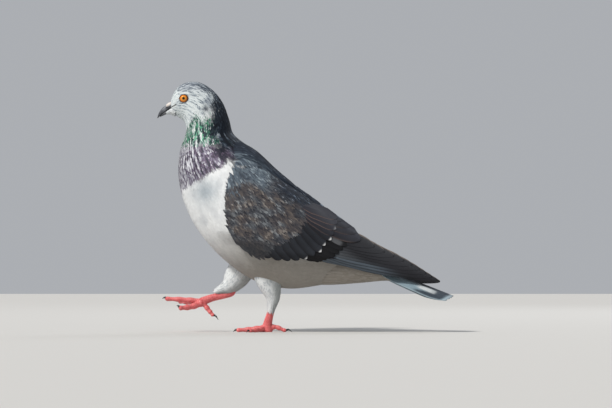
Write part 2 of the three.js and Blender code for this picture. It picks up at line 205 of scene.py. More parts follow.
def add_piece(name, mesh, materials, slot, *nodes):
    """Shows a mesh as a piece of the bird, and hides the construction nodes it stands for. slot is not used."""
    piece = bpy.data.objects.new(name, mesh)
    bpy.context.collection.objects.link(piece)
    for material in materials:
        mesh.materials.append(material)
    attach(piece, "root")
    if nodes:
        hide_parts(*nodes)
    triangles = sum(len(p.vertices) - 2 for p in mesh.polygons)
    print(f"{name}: {triangles} triangles")
    return piece


# %% [markdown]
# ## The body's form
#
# The construction model gives the outline that the feathers' tips make: a row of upright ovals from the
# bill's root to the tail's root, each between a point on the back and one on the belly. The same ovals
# serve here, so feathers land on that outline exactly. A point of the body is named by how far along it
# lies and by its angle round the oval, and a second function finds those two numbers again.

# %% Ovals of the body, from the bill's root to the tail's root
BODY = np.array([
    # back x, back z, belly x, belly z, half width
    [-127.2, 217.6, -126.6, 207.2, 4.8],  # bill's root
    [-121.9, 229.2, -119.9, 202.6, 10.6],  # forehead and chin
    [-112.5, 235.0, -114.6, 198.6, 13.4],  # crown, over the eye
    [-100.0, 235.2, -112.6, 193.4, 15.2],  # back of the crown
    [-87.0, 227.4, -112.4, 189.2, 16.4],  # nape
    [-77.8, 215.4, -113.0, 185.6, 17.4],  # top of the neck
    [-72.0, 200.0, -115.3, 179.4, 19.4],  # middle of the neck
    [-68.2, 187.0, -118.0, 170.0, 24.0],  # foot of the neck
    [-58.8, 178.4, -119.4, 157.0, 31.5],  # crop
    [-44.6, 169.0, -118.8, 141.5, 38.6],  # shoulders
    [-27.0, 152.6, -114.0, 121.6, 43.0],  # breast
    [-10.0, 138.0, -102.4, 98.0, 44.6],  # deepest place
    [8.0, 120.5, -80.6, 71.8, 43.4],  # keel
    [26.0, 104.5, -50.0, 49.4, 39.0],  # belly
    [40.0, 92.5, -17.0, 40.8, 31.0],  # vent
    [51.0, 82.5, 18.0, 44.6, 22.0],  # rump
    [60.0, 72.0, 50.0, 50.5, 11.0],  # tail's root
])
BODY_ROWS = len(BODY) - 1
EYE = np.array([-114.1, 9.3, 218.7])
EYE_RADIUS = 4.7


def middle_and_half(row):
    """The middle of an oval and its half height, both as (x, z) in side view."""
    top, bottom = row[..., 0:2], row[..., 2:4]
    return (top + bottom) / 2, (top - bottom) / 2


def height_on_oval(row, x, z):
    """How high (x, z) lies on an oval in side view: 1 at its top, 0 level with its middle, -1 at its
    bottom."""
    centre, half = middle_and_half(row)
    return dot(np.stack([x, z], -1) - centre, half) / dot(half, half)


def ovals(rows):
    """A surface of upright ovals. t runs from the first row to the last, and a round the oval: 0 on the
    back, a quarter turn on the right flank, half a turn on the belly. With centre C, half height H and
    half width w, the point is C + H cos a, and w sin a to the side."""

    def point(t, a):
        row = spline(rows, t)
        centre, half = middle_and_half(row)
        upright = centre + half * np.cos(a)[..., None]
        return np.stack([upright[..., 0], row[..., 4] * np.sin(a), upright[..., 1]], -1)

    return point


body_point = ovals(BODY)


def body_place(points):
    """The (t, a) of points on or near the body. Each oval is a straight line in side view, so t is where
    the line through the oval's two ends passes the point: found at the change of sign along 400 steps."""
    steps = np.linspace(0, 1, 401)
    row = spline(BODY, steps)
    belly, tall = row[:, 2:4], row[:, 0:2] - row[:, 2:4]
    x, z = points[:, None, 0] - belly[:, 0], points[:, None, 2] - belly[:, 1]
    aside = tall[:, 0] * z - tall[:, 1] * x
    crossing = (aside[:, :-1] < 0) != (aside[:, 1:] < 0)
    # Of several crossings, the one whose oval reaches nearest to the point is the right one.
    level = (x * tall[:, 0] + z * tall[:, 1]) / dot(tall, tall)
    beyond = np.abs(level - 0.5)[:, :-1] + np.where(crossing, 0, 100)
    pick = beyond.argmin(1)
    found = np.take_along_axis(crossing, pick[:, None], 1)[:, 0]
    one, two = (np.take_along_axis(aside, (pick + k)[:, None], 1)[:, 0] for k in (0, 1))
    t = steps[pick] + (steps[1] - steps[0]) * np.clip(one / np.where(one == two, 1, one - two), 0, 1)
    t = np.where(found, t, np.where(points[:, 0] < -60, 0.0, 1.0))
    row = spline(BODY, t)
    rise = height_on_oval(row, points[:, 0], points[:, 2])
    return t, np.arctan2(points[:, 1] / row[:, 4], rise) % (2 * np.pi)


def raised(base, sign=1):
    """A surface with depth: the point at (p, q) moved outwards by lift along the normal there, which is
    the cross product of the surface's two slopes."""

    def point(p, q, lift):
        nudge = 1e-3
        along = base(p + nudge, q) - base(p - nudge, q)
        across = base(p, q + nudge) - base(p, q - nudge)
        return base(p, q) + np.asarray(lift)[..., None] * unit(np.cross(along, across)) * sign

    return point


body = raised(body_point)
probe = body_point(np.array([0.3, 0.7]), np.array([1.0, 4.0]))
print("places found again:", *body_place(probe))

# %% [markdown]
# ## The folded wing's form
#
# A folded wing is nearly a sheet, so it is described in side view by its upper and lower edges, and by
# how far it stands off the bird's middle. Where the flank would poke through, the wing lies on the flank.
# Flight feathers are drawn in side view, so there is also a way back from a point in side view to its
# place on the wing: a few steps of Newton's method from the nearest point of a coarse grid.

# %% The wing's edges and thickness, from the wrist to the tip
WING_TOP = np.array([
    [-70.0, 153.0], [-59.0, 163.0], [-44.0, 161.0], [-24.0, 147.6], [-2.0, 133.8],
    [23.0, 115.0], [48.0, 96.6], [70.0, 81.4], [98.0, 67.8], [127.6, 49.4],
])
WING_BOTTOM = np.array([
    [-76.6, 117.0], [-75.6, 102.3], [-67.0, 84.8], [-51.5, 72.1], [-29.7, 65.5],
    [-2.0, 65.9], [29.2, 62.4], [62.8, 54.4], [95.0, 49.4], [123.6, 41.6],
])
TOP_REACH = [30, 24, 19, 13, 7, 2.4, 1.6, 1.4, 1.4, 2.6]
BOTTOM_REACH = [37, 39, 41, 42.5, 42, 40.5, 36, 28, 19.5, 8.5]
WING_DEPTH = [4.4, 4.8, 5.0, 5.0, 5.0, 4.6, 4.0, 3.2, 2.4, 1.4]
WING_RIM = 0.9
CLEARANCE = 1.3
WRIST_BULGE = 1.6


def body_reach(x, z):
    """How far out the flank lies at (x, z) in side view: the oval's half width times the root of 1 - c^2,
    where c is the height on the oval from -1 to 1."""
    t = body_place(np.stack([x, np.zeros_like(x), z], -1).reshape(-1, 3))[0]
    row = spline(BODY, t)
    rise = height_on_oval(row, x.ravel(), z.ravel())
    inside = (t > 0.36) & (t < 1) & (np.abs(rise) < 1)
    return np.where(inside, row[:, 4] * np.sqrt(np.maximum(0, 1 - rise**2)), 0).reshape(x.shape)


def wing_side_view(u, w):
    """(x, z) of the wing at u along it, 0 to 1, and w across it from the upper edge to the lower."""
    top, bottom = spline(WING_TOP, u), spline(WING_BOTTOM, u)
    bow = WRIST_BULGE * np.sin(np.pi * np.clip(w, 0, 1)) * (1 - ease(0, 0.25, u))
    view = top + (bottom - top) * w[..., None]
    return view[..., 0] - bow, view[..., 1]


# The stand-off is smooth, so it is worked out once on a fine grid and read from there.
GRID_U, GRID_W = np.meshgrid(np.linspace(-0.02, 1.02, 105), np.linspace(-0.05, 1.05, 56), indexing="ij")


def wing_standoff_table():
    """How far the wing's inner and outer face stand off the middle: the larger of the fold's own reach
    and the flank's, rounded where they cross, and that plus the wing's depth, which thins out at the
    rim."""
    x, z = wing_side_view(GRID_U, GRID_W)
    u, w = np.clip(GRID_U, 0, 1), np.clip(GRID_W, 0, 1)
    fold = mix(series(TOP_REACH, u), series(BOTTOM_REACH, u), np.sin(w * np.pi / 2))
    flank = body_reach(x, z) + CLEARANCE
    inner = (fold + flank + np.sqrt((fold - flank) ** 2 + 4)) / 2
    rim = ease(0, 0.14, w) * ease(0, 0.14, 1 - w) * ease(0, 0.1, u) * ease(0, 0.06, 1 - u)
    depth = WING_RIM + (series(WING_DEPTH, u) - WING_RIM) * rim
    return inner, inner + depth


INNER_FACE, OUTER_FACE = wing_standoff_table()


def read_grid(table, u, w):
    """Reads a table on the wing's grid at any (u, w), straight between its four nearest points."""
    i = np.clip((u - GRID_U[0, 0]) / (GRID_U[1, 0] - GRID_U[0, 0]), 0, len(GRID_U) - 1.001)
    j = np.clip((w - GRID_W[0, 0]) / (GRID_W[0, 1] - GRID_W[0, 0]), 0, GRID_W.shape[1] - 1.001)
    i0, j0 = i.astype(int), j.astype(int)
    fi, fj = i - i0, j - j0
    low = mix(table[i0, j0], table[i0, j0 + 1], fj)
    return mix(low, mix(table[i0 + 1, j0], table[i0 + 1, j0 + 1], fj), fi)


def wing_face(side):
    """The wing's outer face as a surface of (u, w)."""

    def point(u, w):
        x, z = wing_side_view(u, w)
        return np.stack([x, side * read_grid(OUTER_FACE, u, w), z], -1)

    return raised(point, sign=side)


def wing_place(x, z):
    """The (u, w) of a point in side view: the nearest point of the grid, then four Newton steps, which
    solve the two slopes there for the distance still missing."""
    shape = x.shape
    x, z = x.ravel(), z.ravel()
    gx, gz = wing_side_view(GRID_U[::3, ::3], GRID_W[::3, ::3])
    near = ((x[:, None] - gx.ravel()) ** 2 + (z[:, None] - gz.ravel()) ** 2).argmin(1)
    u, w = GRID_U[::3, ::3].ravel()[near], GRID_W[::3, ::3].ravel()[near]
    nudge = 1e-3
    for _ in range(4):
        x0, z0 = wing_side_view(u, w)
        xu, zu = ((b - a) / nudge for a, b in zip((x0, z0), wing_side_view(u + nudge, w)))
        xw, zw = ((b - a) / nudge for a, b in zip((x0, z0), wing_side_view(u, w + nudge)))
        det = xu * zw - xw * zu
        det = np.where(np.abs(det) < 50, np.where(det < 0, -50, 50), det)
        u = np.clip(u + ((x - x0) * zw - (z - z0) * xw) / det, -0.1, 1.1)
        w = np.clip(w + ((z - z0) * xu - (x - x0) * zu) / det, -0.3, 1.3)
    return u.reshape(shape), w.reshape(shape)


print("wing stands off by", OUTER_FACE.min().round(1), "to", OUTER_FACE.max().round(1), "mm")

# %% [markdown]
# ## Legs, tail and bill as surfaces
#
# A leg or a toe is a tube carried along a curved path, with its own height and width at each stop. The
# same stops shape the skin, and tell every scale and small feather of the leg which way it points. The
# tail is a fan that arches a little across, and the tail feathers are drawn on its upper face.

# %% Tubes carried along a path


def path_point(stops, t):
    """The spline through the stops, made to go straight on before the first stop and after the last
    one."""
    rows = np.asarray(stops, float)[:, :3]
    padded = np.vstack([2 * rows[0] - rows[1], rows, 2 * rows[-1] - rows[-2]])
    last = len(rows) - 1
    return spline(padded, (t * last + 1) / (last + 2))


def limb_frame(stops, t):
    """The ways forward along a path, up and across. Up is the part square to the path of a fixed way that
    points forwards and up: the front of an upright shank and the top of a level toe."""
    forward = unit(path_point(stops, t + 1e-3) - path_point(stops, t - 1e-3))
    fixed = np.array([-0.857, 0.0, 0.515])
    up = unit(fixed - forward * dot(fixed, forward)[..., None])
    return forward, up, np.cross(forward, up)


def tube(stops):
    """A tube along stops of (x, y, z, high, wide): path + up high cos(angle) + across wide sin(angle),
    and never below the floor."""
    stops = np.asarray(stops, float)

    def point(t, angle):
        _, up, across = limb_frame(stops, t)
        high, wide = series(stops[:, 3], t) * np.cos(angle), series(stops[:, 4], t) * np.sin(angle)
        made = path_point(stops, t) + up * high[..., None] + across * wide[..., None]
        made[..., 2] = np.maximum(made[..., 2], 0)
        return made

    return raised(point, sign=-1)


THIGHS = {
    "left": [(-39, -12.5, 66, 12, 7), (-36, -11.6, 53, 11.8, 8), (-32.2, -10.8, 42, 9.8, 7.2),
             (-30.2, -8.9, 32, 6.4, 5.4), (-31.8, -6.8, 21.5, 3.7, 4)],
    "right": [(-51, 13, 74, 13, 7), (-59, 13, 61, 12.6, 8.4), (-66.4, 13.2, 50, 11.4, 8.2),
              (-73, 12.2, 42.6, 7.6, 6.2), (-82.8, 11.4, 38.4, 3.7, 4.2)],
}
SHANKS = {
    "left": [(-30, -10, 38, 2.4, 2.6), (-29.6, -8.6, 31, 2.7, 2.8), (-30.4, -6.9, 24.5, 3.2, 3.1),
             (-33, -4.6, 16.5, 3.4, 3.2), (-35.2, -2.6, 8, 4.2, 3.9), (-35.8, -2, 1.4, 5.2, 4.6),
             (-35.8, -2, -2.4, 3.2, 3)],
    "right": [(-67.4, 12.6, 42, 2.4, 2.6), (-69.4, 12, 36.6, 2.9, 2.9), (-76, 11.6, 34.6, 3.3, 3),
              (-87, 11, 32.2, 3.5, 3.1), (-97, 10.4, 28.8, 3.9, 3.8)],
}
TOE_NAMES = ["hind", "inner", "middle", "outer"]
TOE_TAPER = [1.12, 1.0, 0.8]  # how thick a toe is at its root, its middle and its end
FOOT = np.array([-36.0, -1.8])


def planted_toe(reach, turn, lift, thick, claw):
    """Stops and claw of a toe that lies on the floor and runs out from the foot at a turn from straight
    ahead."""
    way = np.array([-math.cos(math.radians(turn)), math.sin(math.radians(turn))])
    heights = [4.0, 0.9 * thick + lift, 0.6 * thick]
    rows = zip([0.1, 0.5, 1.0], heights, TOE_TAPER)
    stops = [(*(FOOT + way * reach * share), high, thick * k, thick * k) for share, high, k in rows]
    return stops, np.array([*(way * claw), -0.6 * thick]), thick


def raised_toe(path, thick, claw):
    """Stops and claw of a toe of the raised foot."""
    stops = [(*at, thick * k, thick * k) for at, k in zip(path, TOE_TAPER)]
    return stops, np.array(claw, float), thick


TOES = {
    "left": [planted_toe(17.2, 184, 2.6, 2.2, 6.6), planted_toe(20, 44, 0.3, 2.2, 4.6),
             planted_toe(27.2, 2, 0.3, 2.5, 4.6), planted_toe(21.5, -44, 0.3, 2.2, 4.4)],
    "right": [
        raised_toe([(-96, 9.2, 26.4), (-91.2, 8.4, 20.4), (-87, 7.8, 15.4)], 2.2, (5, 0, -4.4)),
        raised_toe([(-98, 8.4, 26.6), (-108, 4.8, 23.4), (-117.8, 1.4, 22.4)], 2.7, (-3.2, -1, 2.2)),
        raised_toe([(-98, 10.6, 28.4), (-114, 11, 30), (-130.8, 11.4, 31)], 2.5, (-4.6, 0, 0.2)),
        raised_toe([(-98, 12.4, 27.6), (-110, 16.8, 27.6), (-119.6, 20.4, 28.2)], 2.2, (-3.8, 1.4, 0.4)),
    ],
}

TAIL_ROOT, TAIL_TIP = np.array([40.0, 0.0, 70.5]), np.array([139.7, 0.0, 32.9])
TAIL_LENGTH = 106.0


def tail_face(sign):
    """The tail's upper (sign 1) or lower (sign -1) face. along runs from its root to its tip, and c
    across from -1 to 1. The middle line is straight, the half width grows from 13 to 24.5, the height
    falls by 3.2 c^2 towards the sides, and the rear corners are cut back by 10 |c|^3."""

    def point(along, c):
        middle = TAIL_ROOT + (TAIL_TIP - TAIL_ROOT) * along[..., None]
        half = mix(13, 24.5, ease(0, 1, 1.1 * along))
        x = middle[..., 0] - 10 * np.abs(c) ** 3 * along
        z = middle[..., 2] - 3.2 * c * c * mix(0.6, 1, along) + sign * mix(5, 1.8, along) / 2
        return np.stack([x, half * c, z], -1)

    return raised(point, sign=sign)


middle_toe = TOES["left"][TOE_NAMES.index("middle")][0]
print("left middle toe ends at", np.round(middle_toe[-1][:3], 1))

# %% [markdown]
# ## Markings
#
# This bird is a pied pigeon: white face and breast, a grey crown, a blue-black nape that runs down the
# back, a neck that glints green above and purple below, and dark wings mottled with brown. The markings
# are one rule from place to colour. Skin and feathers both ask it, so that no gap between feathers shows
# a wrong colour. Where neighbouring feathers differ, a random draw picks from a short list.

# %% Colours of the body


def draw_from(choices, pick):
    """A colour for each draw between 0 and 1. choices is a list of (share, colour code), from dark to
    light. Each colour sits in the middle of its share of the range, and a draw between two middles is
    mixed from both."""
    shares = np.array([np.broadcast_to(share, pick.shape) for share, _ in choices], float)
    shares = shares / shares.sum(0)
    middles = np.cumsum(shares, 0) - shares / 2
    drawn = plain(choices[0][1], pick.shape)
    for k in range(1, len(choices)):
        gap = np.maximum(middles[k] - middles[k - 1], 1e-6)
        drawn = blend(drawn, choices[k][1], np.clip((pick - middles[k - 1]) / gap, 0, 1))
    return drawn


def blend(under, over, weight):
    """Lays a colour, or its code, over another one by a weight from 0 to 1."""
    over = colour(over) if isinstance(over, str) else over
    return under + (over - under) * np.asarray(weight)[..., None]


def plain(code, shape):
    """One colour for every element of an array of this shape."""
    return np.broadcast_to(colour(code), (*shape, 3))


def near(x, z, x0, z0, rx, rz):
    """1 at (x0, z0) and falling as exp(-d^2), with d measured in the radii rx and rz."""
    return np.exp(-(((x - x0) / rx) ** 2) - ((z - z0) / rz) ** 2)


def streaks(t, a):
    """Noise from 0 to 1, drawn out along the lie of the coat: the mean of fine noise at nine places
    before and behind a point, up to 1.6 mm away on the head and 4 mm below it."""
    slope = np.linalg.norm(body_point(t + 1e-3, a) - body_point(t - 1e-3, a), axis=-1) / 2e-3
    below_head = ease(3.6, 5.6, t * BODY_ROWS)
    reach = mix(1.6, 4.0, below_head) / slope
    places = [body_point(np.clip(t + step * reach, 0, 1), a) for step in np.linspace(-1, 1, 9)]
    line = sum(speckle(place, 1.7, 6) for place in places) / len(places)
    return 0.5 + 0.5 * np.tanh(mix(2.1, 2.6, below_head) * line)


def body_coat(points, t, a, draw):
    """Colour and gloss of the body at places (t, a), whose points are given. gloss is 1 for a feather
    that glints like metal and 0 for a dull one."""
    x, z = points[:, 0], points[:, 2]
    row, back = t * BODY_ROWS, np.cos(a)
    soft, fine = speckle(points, 15, 3), speckle(points, 5, 4)
    pick = np.clip(streaks(t, a) + 0.3 * (draw.random(len(x)) - 0.5), 0, 1)
    tone = draw.normal(0, 1, len(x))
    # White breast and belly, greyer in a patch under the neck. Lower down, the belly's own grey-brown is
    # deepened by painted shade on its underside, which faces away from the light.
    coat = blend(plain("E3E5E6", x.shape), "CBCED1", ease(-0.4, 1.8, soft + 0.25 * tone))
    coat = blend(coat, "A4ADB4", 0.95 * near(x, z, -92, 130, 12, 12))
    # painted shade on the underside of the belly, over its own grey-brown
    higher = 0.5 * ease(12.5, 15, row)
    underside_tint_and_shade = 0.9 * ease(10.8, 13, row) * ease(0.3 + higher, -0.5 + higher, back)
    coat = blend(coat, "847E75", underside_tint_and_shade)
    # Head: white face, flecked cheek, grey crown with darker streaks, and a dark spot over the ear.
    head = 1 - ease(4.4, 5.6, row)
    behind = ease(-106, -84, x)
    face = draw_from([(0.02 + 0.3 * behind, "5A636E"), (0.07 + 0.28 * behind, "8D96A1"), (0.24, "BCC6CA"),
                      (0.67, "D9E0E1")], pick)
    crown = draw_from([(0.14 + 0.4 * behind, "525A66"), (0.36, "7E8690"), (0.36, "9AA2AB"),
                       (0.14, "BEC5CA")], pick)
    face = blend(face, crown, ease(223.5, 228.5, z + 1.2 * fine) * ease(-126, -117, x))
    face = blend(face, "87909B", 0.7 * near(x, z, -89, 215, 6, 4.5))
    face = blend(face, "3D434D", 0.95 * near(x, z, -93.2, 208.6, 3.0, 2.8))
    face = blend(face, "6B7480", 0.5 * near(x, z, -104, 222, 5, 1.5))
    coat = blend(coat, face, head)
    # The gape: a dark line from the bill's edge to a dot below and before the eye.
    line = np.interp(x, [-131, -126.7, -121.8], [208.4, 211.0, 213.2])
    gape = ease(0.75, 0.35, np.abs(z - line)) * ease(-121.0, -121.8, x)
    gape = np.maximum(gape, ease(1.1, 0.6, np.hypot(x + 122.0, z - 213.1))) * (np.abs(points[:, 1]) > 3)
    coat = blend(coat, "4B4844", 0.85 * gape)
    # Neck: green above, purple below, with white tips thickest in front.
    front = ease(-92, -112, x)
    ragged = z + 2.5 * soft + 2.6 * tone
    upper_end = 1 - ease(197, 207, ragged + 0.35 * np.clip(x + 100, 0, 20))
    green = ease(170, 176, z + 2 * fine) * upper_end * ease(3.4, 4.4, row)
    high = ease(186, 204, z)
    greens = draw_from([(0.36 - 0.2 * high, "1F282E"), (0.16, "2E3E44"), (0.13, "2C6050"), (0.1, "579A7A"),
                        (0.13, "8D9B9B"), (0.17 + 0.4 * front + 0.4 * high, "DCE2E0")], pick)
    coat = blend(coat, greens, green)
    low = np.interp(x, [-119, -105, -92, -69, -55, -40], [128, 138, 144.5, 158, 167, 172])
    purple = (1 - ease(170, 177, z + 2 * fine)) * ease(-3, 3, z - low + 1.5 * soft) * (1 - ease(-60, -50, x))
    purples = draw_from([(0.28, "363843"), (0.3, "574D5D"), (0.2, "6B6075"), (0.14, "82808F"),
                         (0.1 + 0.9 * front, "D2D3D9")], pick)
    coat = blend(coat, purples, purple)
    # Nape and back: blue-black from the back of the head down between the wings, paler on the rump.
    start = np.interp(row, [2.4, 3.2, 4, 5, 6, 7, 8, 9], [1.3, 1.08, 0.8, 0.4, 0.16, 0.24, 0.36, 0.4])
    dark = ease(start - 0.2, start + 0.24, back + 0.1 * soft + 0.1 * tone) * ease(2.4, 3.4, row)
    pale = 1 - ease(3.6, 5.2, row)  # the back of the head is greyer than the neck
    backs = draw_from([(0.54 - 0.3 * pale, "171D26"), (0.28, "28303B"), (0.14 + 0.22 * pale, "4B5663"),
                       (0.04 + 0.14 * pale, "808B97")], pick)
    backs = blend(backs, "8B9299", 0.7 * ease(12.5, 14.5, row))
    coat = blend(coat, backs, dark)
    gloss = np.clip(green * 0.9 + purple * 0.8 + 0.35 * dark * (row < 9), 0, 1) * (coat.max(1) < 0.55)
    return np.clip(coat * (1 + 0.03 * tone[:, None]), 0.01, 0.9), gloss


probe_t, probe_a = np.array([0.05, 0.3, 0.5]), np.array([1.6, 1.6, 2.6])
probe = body_coat(body_point(probe_t, probe_a), probe_t, probe_a, default_rng(1))[0]
print("coat at cheek, neck and breast:", probe.round(2))

# %% [markdown]
# ## Materials
#
# Feathers are dull, but not flat: each vane is made of parallel barbs that slant from its shaft, drawn as
# a fine ripple on the Vane map. The barbs are one node group that every feather material uses with its
# own numbers. Neck feathers glint because they are metallic where the Coat attribute's alpha says so.

# %% Node helpers and the barbs group


def group_of(name, inputs, outputs):
    """An empty node group with float or vector sockets. inputs is a dictionary of name to default
    value."""
    group = bpy.data.node_groups.new(name, "ShaderNodeTree")
    for title, value in inputs.items():
        kind = "NodeSocketVector" if isinstance(value, tuple) else "NodeSocketFloat"
        group.interface.new_socket(title, in_out="INPUT", socket_type=kind).default_value = value
    for title in outputs:
        group.interface.new_socket(title, in_out="OUTPUT", socket_type="NodeSocketFloat")
    return group, group.nodes.new("NodeGroupInput"), group.nodes.new("NodeGroupOutput")


def add_node(tree, kind, links=None, **settings):
    """Adds a node, sets its properties, and plugs in links: a dictionary of input to a value or an
    output."""
    node = tree.nodes.new(kind)
    for title, value in settings.items():
        setattr(node, title, value)
    for title, value in (links or {}).items():
        if isinstance(value, bpy.types.NodeSocket):
            tree.links.new(value, node.inputs[title])
        else:
            node.inputs[title].default_value = value
    return node


def sums(tree, operation, *values, clamp=False):
    """The output of one Math node."""
    links = dict(enumerate(values))
    return add_node(tree, "ShaderNodeMath", links, operation=operation, use_clamp=clamp).outputs[0]


def product(tree, colours, factor):
    """The output of a Vector Math node that multiplies colours by a factor."""
    return add_node(tree, "ShaderNodeVectorMath", {0: colours, 1: factor}, operation="MULTIPLY").outputs[0]


def noise(tree, where, scale, detail, **more):
    """The output of a Noise Texture node that reads its place from where."""
    links = {"Vector": where, "Scale": scale, "Detail": detail, **more}
    return add_node(tree, "ShaderNodeTexNoise", links).outputs[0]


# Barbs: with c mm across the vane and l mm along it, the ripple is the sine of 2 pi (l - slant |c|) / pitch.
barb_inputs = {"Vane": (0.0, 0.0, 0.0), "Pitch": 0.7, "Slant": 1.1}
BARBS, taken, given = group_of("Barbs", barb_inputs, ["Ripple", "Shaft"])
split = add_node(BARBS, "ShaderNodeSeparateXYZ", {0: taken.outputs["Vane"]})
aside = sums(BARBS, "ABSOLUTE", split.outputs["X"])
wave = sums(BARBS, "SUBTRACT", split.outputs["Y"], sums(BARBS, "MULTIPLY", aside, taken.outputs["Slant"]))
turns = sums(BARBS, "DIVIDE", sums(BARBS, "MULTIPLY", wave, 2 * math.pi), taken.outputs["Pitch"])
ripple = sums(BARBS, "SINE", turns)
BARBS.links.new(sums(BARBS, "MULTIPLY_ADD", ripple, 0.5, 0.5), given.inputs["Ripple"])
# Shaft: 1 on the middle line of the vane, falling to 0 at 0.3 mm from it.
shaft = sums(BARBS, "SUBTRACT", 1.0, sums(BARBS, "DIVIDE", aside, 0.3), clamp=True)
BARBS.links.new(shaft, given.inputs["Shaft"])


def new_material(name, roughness, **fixed):
    """A material with its shader's fixed values set on the shader itself."""
    material = bpy.data.materials.new(name)
    material.use_nodes = True
    tree = material.node_tree
    shader = next(n for n in tree.nodes if n.type == "BSDF_PRINCIPLED")
    shader.inputs["Roughness"].default_value = roughness
    for title, value in fixed.items():
        shader.inputs[title.replace("_", " ")].default_value = value
    return material, tree, shader


def bumped(tree, shader, height, distance, strength=1.0):
    """Feeds a height in 0 to 1, worth distance in metres, to the shader's normal."""
    bump = add_node(tree, "ShaderNodeBump", {"Height": height, "Distance": distance, "Strength": strength})
    tree.links.new(bump.outputs["Normal"], shader.inputs["Normal"])


def feather_material(name, roughness, pitch, slant, ripple_shade, shaft_shade, bump, **fixed):
    """A feather's finish: the Coat colour, darker between barbs as painted shade in their grooves, lighter on
    the shaft, mottled and streaked, with the barbs as bump, and metal where the coat's alpha is high."""
    material, tree, shader = new_material(name, roughness, **fixed)
    coat = add_node(tree, "ShaderNodeAttribute", attribute_name="Coat")
    vane = add_node(tree, "ShaderNodeUVMap", uv_map="Vane")
    barb_links = {"Vane": vane.outputs["UV"], "Pitch": pitch, "Slant": slant}
    barbs = add_node(tree, "ShaderNodeGroup", barb_links, node_tree=BARBS)
    place = add_node(tree, "ShaderNodeTexCoord")
    mottle = noise(tree, place.outputs["Object"], 260.0, 3.0)
    streak = noise(tree, product(tree, vane.outputs["UV"], (2.4, 0.22, 1.0)), 1.0, 2.0)
    # painted shade between the barbs: the ripple darkens the colour in its troughs
    light = sums(tree, "MULTIPLY_ADD", barbs.outputs["Ripple"], ripple_shade, 1 - ripple_shade / 2)
    light = sums(tree, "ADD", light, sums(tree, "MULTIPLY", barbs.outputs["Shaft"], shaft_shade))
    light = sums(tree, "ADD", light, sums(tree, "MULTIPLY_ADD", mottle, 0.24, -0.12))
    light = sums(tree, "ADD", light, sums(tree, "MULTIPLY_ADD", streak, 0.3, -0.15))
    tree.links.new(product(tree, coat.outputs["Color"], light), shader.inputs["Base Color"])
    gloss = coat.outputs["Alpha"]
    tree.links.new(sums(tree, "MULTIPLY", gloss, 0.55), shader.inputs["Metallic"])
    tree.links.new(sums(tree, "MULTIPLY_ADD", gloss, -0.3, roughness), shader.inputs["Roughness"])
    bumped(tree, shader, barbs.outputs["Ripple"], bump)
    return material


SOFT = feather_material("contour_vanes", 0.85, 0.5, 0.9, 0.02, 0.0, 0.00001, Specular_IOR_Level=0.25)
COVERT = feather_material("covert_vanes", 0.75, 0.5, 1.0, 0.02, 0.06, 0.00001, Specular_IOR_Level=0.2)
FLIGHT = feather_material("flight_vanes", 0.62, 0.55, 1.2, 0.06, 0.16, 0.000008, Specular_IOR_Level=0.2)
print("materials so far:", [m.name for m in bpy.data.materials if m.name.endswith("vanes")])

# %% [markdown]
# ## Skin
#
# Under the feathers a bird is one closed skin, bare only on the feet. The body's ovals, sunk by the depth
# of the coat, give the trunk and head as one surface. Each leg is a handful of tubes that overlap where a
# toe meets the foot. A voxel remesh melts them into one form with soft webs between the toes, and a
# boolean union joins the legs to the body without a seam.

# %% Tubes and closed surfaces for the skin


def closed_tube(point, rows, columns, lift=0.0, cap=0.0):
    """Points and faces of a tube. Past each end it goes on by cap, a share of its length, while its rings
    draw in as the root of 1 - s^2, down to a small hole."""
    beyond = np.array([1.0, 0.92, 0.7, 0.35])
    t = np.r_[-cap * beyond, np.linspace(0, 1, rows), 1 + cap * beyond[::-1]]
    draw_in = np.maximum(np.sqrt(1 - beyond**2), 0.02)
    squeeze = np.r_[draw_in, np.ones(rows), draw_in[::-1]]
    angle = np.linspace(0, 2 * np.pi, columns, endpoint=False)
    T, A = np.meshgrid(t, angle, indexing="ij")
    made = point(T, A, np.full(T.shape, float(lift)))
    ring = made.mean(1, keepdims=True)
    made = ring + (made - ring) * squeeze[:, None, None]
    return made.reshape(-1, 3), grid_faces(len(t), columns, closed=True)


def close_up(work):
    """Fills open rings with triangles, and turns all faces outwards."""
    bmesh.ops.holes_fill(work, edges=[e for e in work.edges if e.is_boundary], sides=0)
    bmesh.ops.triangulate(work, faces=[f for f in work.faces if len(f.verts) > 4])
    bmesh.ops.recalc_face_normals(work, faces=work.faces)


def closed_mesh(name, points, faces, **painted):
    """A mesh whose last open rings are filled, with its faces turned outwards."""
    return edited(mesh_from(name, points, faces, **painted), close_up)


def melting(size, rounds):
    """The modifiers that melt meshes together: a voxel remesh, and a smoothing that rounds its steps."""
    remesh = ("REMESH", dict(mode="VOXEL", voxel_size=size * MM, adaptivity=0.0))
    return remesh, ("SMOOTH", dict(factor=0.5, iterations=rounds))


def finished(pieces, *modifiers):
    """Joins meshes into one and applies modifiers to it, each a kind and its settings."""
    work = bmesh.new()
    for mesh in pieces:
        work.from_mesh(mesh)
    joined = bpy.data.meshes.new("joined")
    work.to_mesh(joined)
    work.free()
    helper = bpy.data.objects.new("helper", joined)
    bpy.context.collection.objects.link(helper)
    for kind, settings in modifiers:
        modifier = helper.modifiers.new(kind, kind)
        for title, value in settings.items():
            setattr(modifier, title, value)
    graph = bpy.context.evaluated_depsgraph_get()
    made = bpy.data.meshes.new_from_object(helper.evaluated_get(graph))
    bpy.data.objects.remove(helper)
    return made


def points_of(mesh):
    """The points of a mesh in mm."""
    flat = np.empty(len(mesh.vertices) * 3, np.float32)
    mesh.vertices.foreach_get("co", flat)
    return flat.reshape(-1, 3).astype(float) / MM


# Coat depth in mm at each row of the body: thin on the face, deep on the breast.
COAT_DEPTH = [0.6, 0.7, 0.8, 0.9, 1.1, 1.4, 1.5, 1.6, 1.7, 1.8, 1.8, 1.8, 1.8, 1.8, 1.7, 1.6, 1.4]


def coat_depth(t):
    return series(COAT_DEPTH, np.clip(t, 0, 1))


def body_skin(t, a, lift):
    return body(t, a, lift - coat_depth(t))


